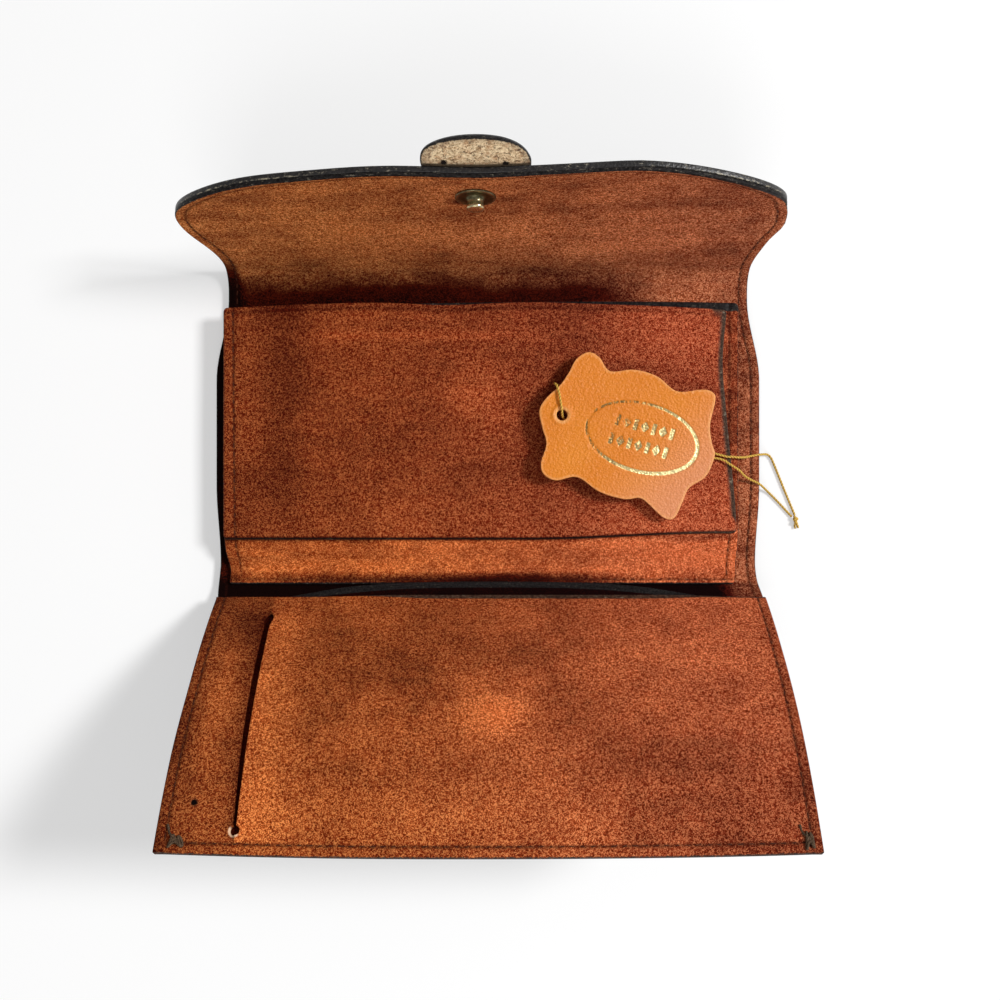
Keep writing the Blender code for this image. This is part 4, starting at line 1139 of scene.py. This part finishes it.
def foil_reach(x, y):
    """How far a point is inside the foil: an oval line, and two rows of lozenges and bars within it.

    The distance from the oval is its radius less one, over the slope of that radius.
    """
    turn = math.radians(-15)
    u = (x - 53.1) * math.cos(turn) + (y - 1.9) * math.sin(turn)
    v = -(x - 53.1) * math.sin(turn) + (y - 1.9) * math.cos(turn)
    angle = np.arctan2(v / 11.6, u / 19.5)
    radius = np.hypot(u / 19.5, v / 11.6)
    slope = np.hypot(u / 19.5**2, v / 11.6**2) / np.maximum(radius, 0.1)
    foil = 0.52 + 0.12 * np.cos(angle + 0.7) - np.abs(radius - 1) / slope
    for row, shift in ((3.7, 0), (-3, -0.6)):
        near = np.round((u - shift) / 3.2)
        left = u - shift - near * 3.2
        across = v - row
        lozenge = 1.3 - np.abs(left) / 1.15 - np.abs(across) / 1.6
        bar = np.minimum(0.72 - np.abs(left - 0.05 * across), 1.95 - np.abs(across))
        mark = np.where(near % 2 == 0, lozenge * 0.9, bar)
        foil = np.maximum(foil, np.where(np.abs(near) <= 3, mark, -9))
    return foil


def make_tag(material):
    """A ring of leather between the hole's circle and the outline, round over both edges.

    The grid's columns run round it. Its rows run over the top from the hole to the outline, back
    underneath, and close at the hole.
    """
    outline = smooth_route(TAG_OUTLINE, 14, closed=True)
    circle = TAG_HOLE + 1.85 * directions(outline - TAG_HOLE)
    length = np.linalg.norm(outline - circle, axis=1)
    near = np.array([0, 0.1, 0.3, 0.6, 1, 1.6])[:, None] + 0 * length
    run = np.concatenate([near, np.linspace(0.02, 0.98, 96)[:, None] * length, length - near[:5]])
    run = np.sort(np.clip(run, 0, length), axis=0)
    flat = circle + (outline - circle) * (run / length)[..., None]
    gap = np.linalg.norm(flat[:, :, None] - outline[::4], axis=-1).min(-1)
    gap = np.minimum(gap, length - run)
    rows, cols = run.shape
    order = np.concatenate([np.arange(rows), np.arange(rows)[::-1], [0]])
    under = (np.arange(2 * rows + 1) // rows == 1)[:, None]
    x, y, gap, run = (values[order] for values in (flat[..., 0], flat[..., 1], gap, run))
    turn = roundness(np.minimum(gap, run), 0.38)
    top = TAG_THICKNESS - turn + 0.25 * hump(run, 1.2, 0.7)
    points = layer(x, y, tag_height(x, y) + np.where(under, turn, top)) * 0.001
    layers = {
        "flat": layer(x, y, np.where(under, 0, TAG_THICKNESS)),
        "edge": layer(gap, run, np.where(under, -9, foil_reach(x, y))),
    }
    faces = grid_faces(2 * rows + 1, cols, closed=True)
    make_piece("hang_tag_leather", "hang_tag", material, points, faces, layers)


# The stitches


def stitch_piece(name, routes, place, material, radius=0.18, length=2.1, sunk=0.12):
    """Stitches along pattern routes of (x, s, depth): each a small arched capsule, a few degrees askew."""
    random = np.random.default_rng(7)
    spots, ways = [], []
    for route in routes:
        line, stations = even_route(route, 0.5)
        count = max(int(stations[-1] / STITCH_PITCH), 1)
        middle = (np.arange(count) + 0.5) * stations[-1] / count
        spot, ahead, behind = (at_stations(line, stations, middle + shift) for shift in (0, 0.5, -0.5))
        spots.append(spot)
        ways.append(directions((ahead - behind)[:, :2]))
    spot, way = np.concatenate(spots), np.concatenate(ways)
    skew = random.normal(0, 0.12, len(spot)) + 0.05
    size = random.uniform(0.6, 1.08, len(spot))[:, None, None]
    low = random.uniform(-0.1, 0.06, len(spot))[:, None, None]
    spot_x, spot_s, spot_depth = spot.T[..., None, None]
    way_x, way_s = way.T[..., None, None]
    skew = skew[:, None, None]
    way_x, way_s = way_x - skew * way_s, way_s + skew * way_x
    run = np.array([-1, -0.86, -0.5, 0, 0.5, 0.86, 1])[:, None]
    thick = radius * np.array([0, 0.72, 0.96, 1, 0.96, 0.72, 0])[:, None]
    angle = np.linspace(0, 2 * np.pi, 6, endpoint=False)
    along = 0.5 * length * size * run
    across = thick * np.cos(angle)
    height = thick * np.sin(angle) - sunk - 0.3 * radius * run**2 + low
    x = spot_x + way_x * along - way_s * across
    s = spot_s + way_s * along + way_x * across
    faces = grid_faces(7, 6, closed=True) + 42 * np.arange(len(spot))[:, None, None]
    lobe = 0.5 + 0.5 * np.cos(2 * angle + 3 * run)
    layers = {"strand": layer(along + 5 * spot_x, angle, lobe)}
    points = place(x, s, spot_depth + height)
    make_piece(name, None, material, points, faces.reshape(-1, 4), layers, 1e-7)


def side_lines(start, end, depth):
    """Two stitch lines along the pattern's sides."""
    s = np.linspace(start, end, 80)
    return [layer(side * (half_width(s) - STITCH_INSET), s, depth) for side in (-1, 1)]


def tip_line(depth):
    """A stitch line round the flap's tip: the tip's curve drawn in by the inset."""
    turn = np.linspace(0, np.pi / 2, 60)
    x = TIP_FLAT + (TIP_SWEEP - STITCH_INSET) * np.cos(turn)
    s = SHOULDER + (TIP_HEIGHT - STITCH_INSET) * np.sin(turn)
    return layer(np.concatenate([x, -x[::-1]]), np.concatenate([s, s[::-1]]), depth)


def make_stitches(dark, black):
    lining, pocket, page, strip = LINING_TOP - 0.12, POCKET_TOP - 0.14, PAGE_TOP - 0.14, 0.88
    lip = layer(93 * np.linspace(-0.985, 0.985, 60), LIP + STITCH_INSET, pocket)
    sides = [*side_lines(-44, SHOULDER, lining), tip_line(lining - 0.16)]
    stitch_piece("flap_and_back_stitches", sides, body_place, dark)
    front = [*side_lines(LIP + STITCH_INSET, POCKET_EDGE - 1, pocket), lip]
    stitch_piece("front_pocket_stitches", front, pocket_place, dark)
    outside = [*side_lines(LIP + STITCH_INSET, SHOULDER, 0), tip_line(0), lip * (1, 1, 0)]
    stitch_piece("outer_stitches", outside, lambda x, s, depth: body_place(x, s, -depth), black, sunk=0.1)
    left, right = np.linspace(17.6, 96, 20), np.linspace(20.6, 92.6, 20)
    page_seams = [layer(page_column(left), left, page), layer(PAGE_FRONT_RIGHT - 3, right, page)]
    stitch_piece("page_front_stitches", page_seams, page_place, dark, radius=0.2)
    left, right = np.linspace(2.6, 16.4, 8), np.linspace(2.6, 17.6, 8)
    strip_seams = [
        layer(strip_column(left), left, strip),
        layer(PAGE_BACK_RIGHT - 3.2, right, strip),
        layer(np.linspace(40, PAGE_BACK_RIGHT - 2.5, 20), 1.7, strip - 0.06),
    ]
    stitch_piece("page_seam_stitches", strip_seams, page_place, dark, radius=0.17)


def make_corner_knots(material):
    """The seam's ends at the lip's two corners: a strand that winds over itself and trails off.

    Its centre line adds waves of 2, 3 and 5 to the round along x, along s and upwards.
    """
    turn = np.linspace(0, 7 * np.pi, 160)
    fade = ease(turn, 6.2 * np.pi, 7 * np.pi)
    wide = (1 - fade) * (np.cos(turn) + 0.5 * np.cos(2.5 * turn + 1))
    tall = (1 - fade) * (0.8 * np.sin(1.5 * turn) + 0.5 * np.sin(3.5 * turn))
    height = POCKET_TOP + 0.35 + 0.28 * np.sin(5 * turn) - 0.25 * fade
    left = "left_corner_knot", -88.9 + 1.4 * wide - 3 * fade, LIP + 3.2 + 1.3 * tall + 4.6 * fade
    right = "right_corner_knot", 91.4 + 0.8 * wide - 2.2 * fade, LIP + 3.4 + 1.9 * tall + 4.4 * fade
    for name, x, s in (left, right):
        route = pocket_place(x, s, height) * 1000
        strand_piece(name, None, route, 0.33, material, 1.6, 8, 0.3)


# Everything together

bpy.context.scene.view_settings.view_transform = "Standard"
set_camera()
set_floor()
set_light()
make_thread(thread_finish("mustard_thread", (134, 98, 34), (230, 188, 88), 1.2))
make_body(black_leather_finish(), suede_finish("lining_suede", LINING_HUES, streaks=0.3))
make_pocket(
    suede_finish("backing_suede", POCKET_HUES, nap=0.8, wear=0.1),
    suede_finish(
        "pocket_suede", POCKET_HUES, stains=0.8, inks=GREY_INK, hole=AWL_HOLE,
        eye=(float(slit_line(HOLE_CENTER)), HOLE_CENTER)),
)
make_page(
    suede_finish("page_suede", PAGE_HUES, stains=0.35, soft=0.8, inks=GREY_INK),
    suede_finish("page_strip_suede", POCKET_HUES, streaks=0.45, nap=0.8, wear=0.2),
)
make_tab(tab_finish())
make_press_stud(brass_finish())
make_tag(tag_finish())
make_stitches(
    thread_finish("dark_sewing_thread", (34, 15, 8), (88, 44, 26)),
    thread_finish("black_sewing_thread", (10, 9, 9), (44, 40, 40)))
make_corner_knots(thread_finish("brown_sewing_thread", (16, 10, 8), (104, 82, 62)))
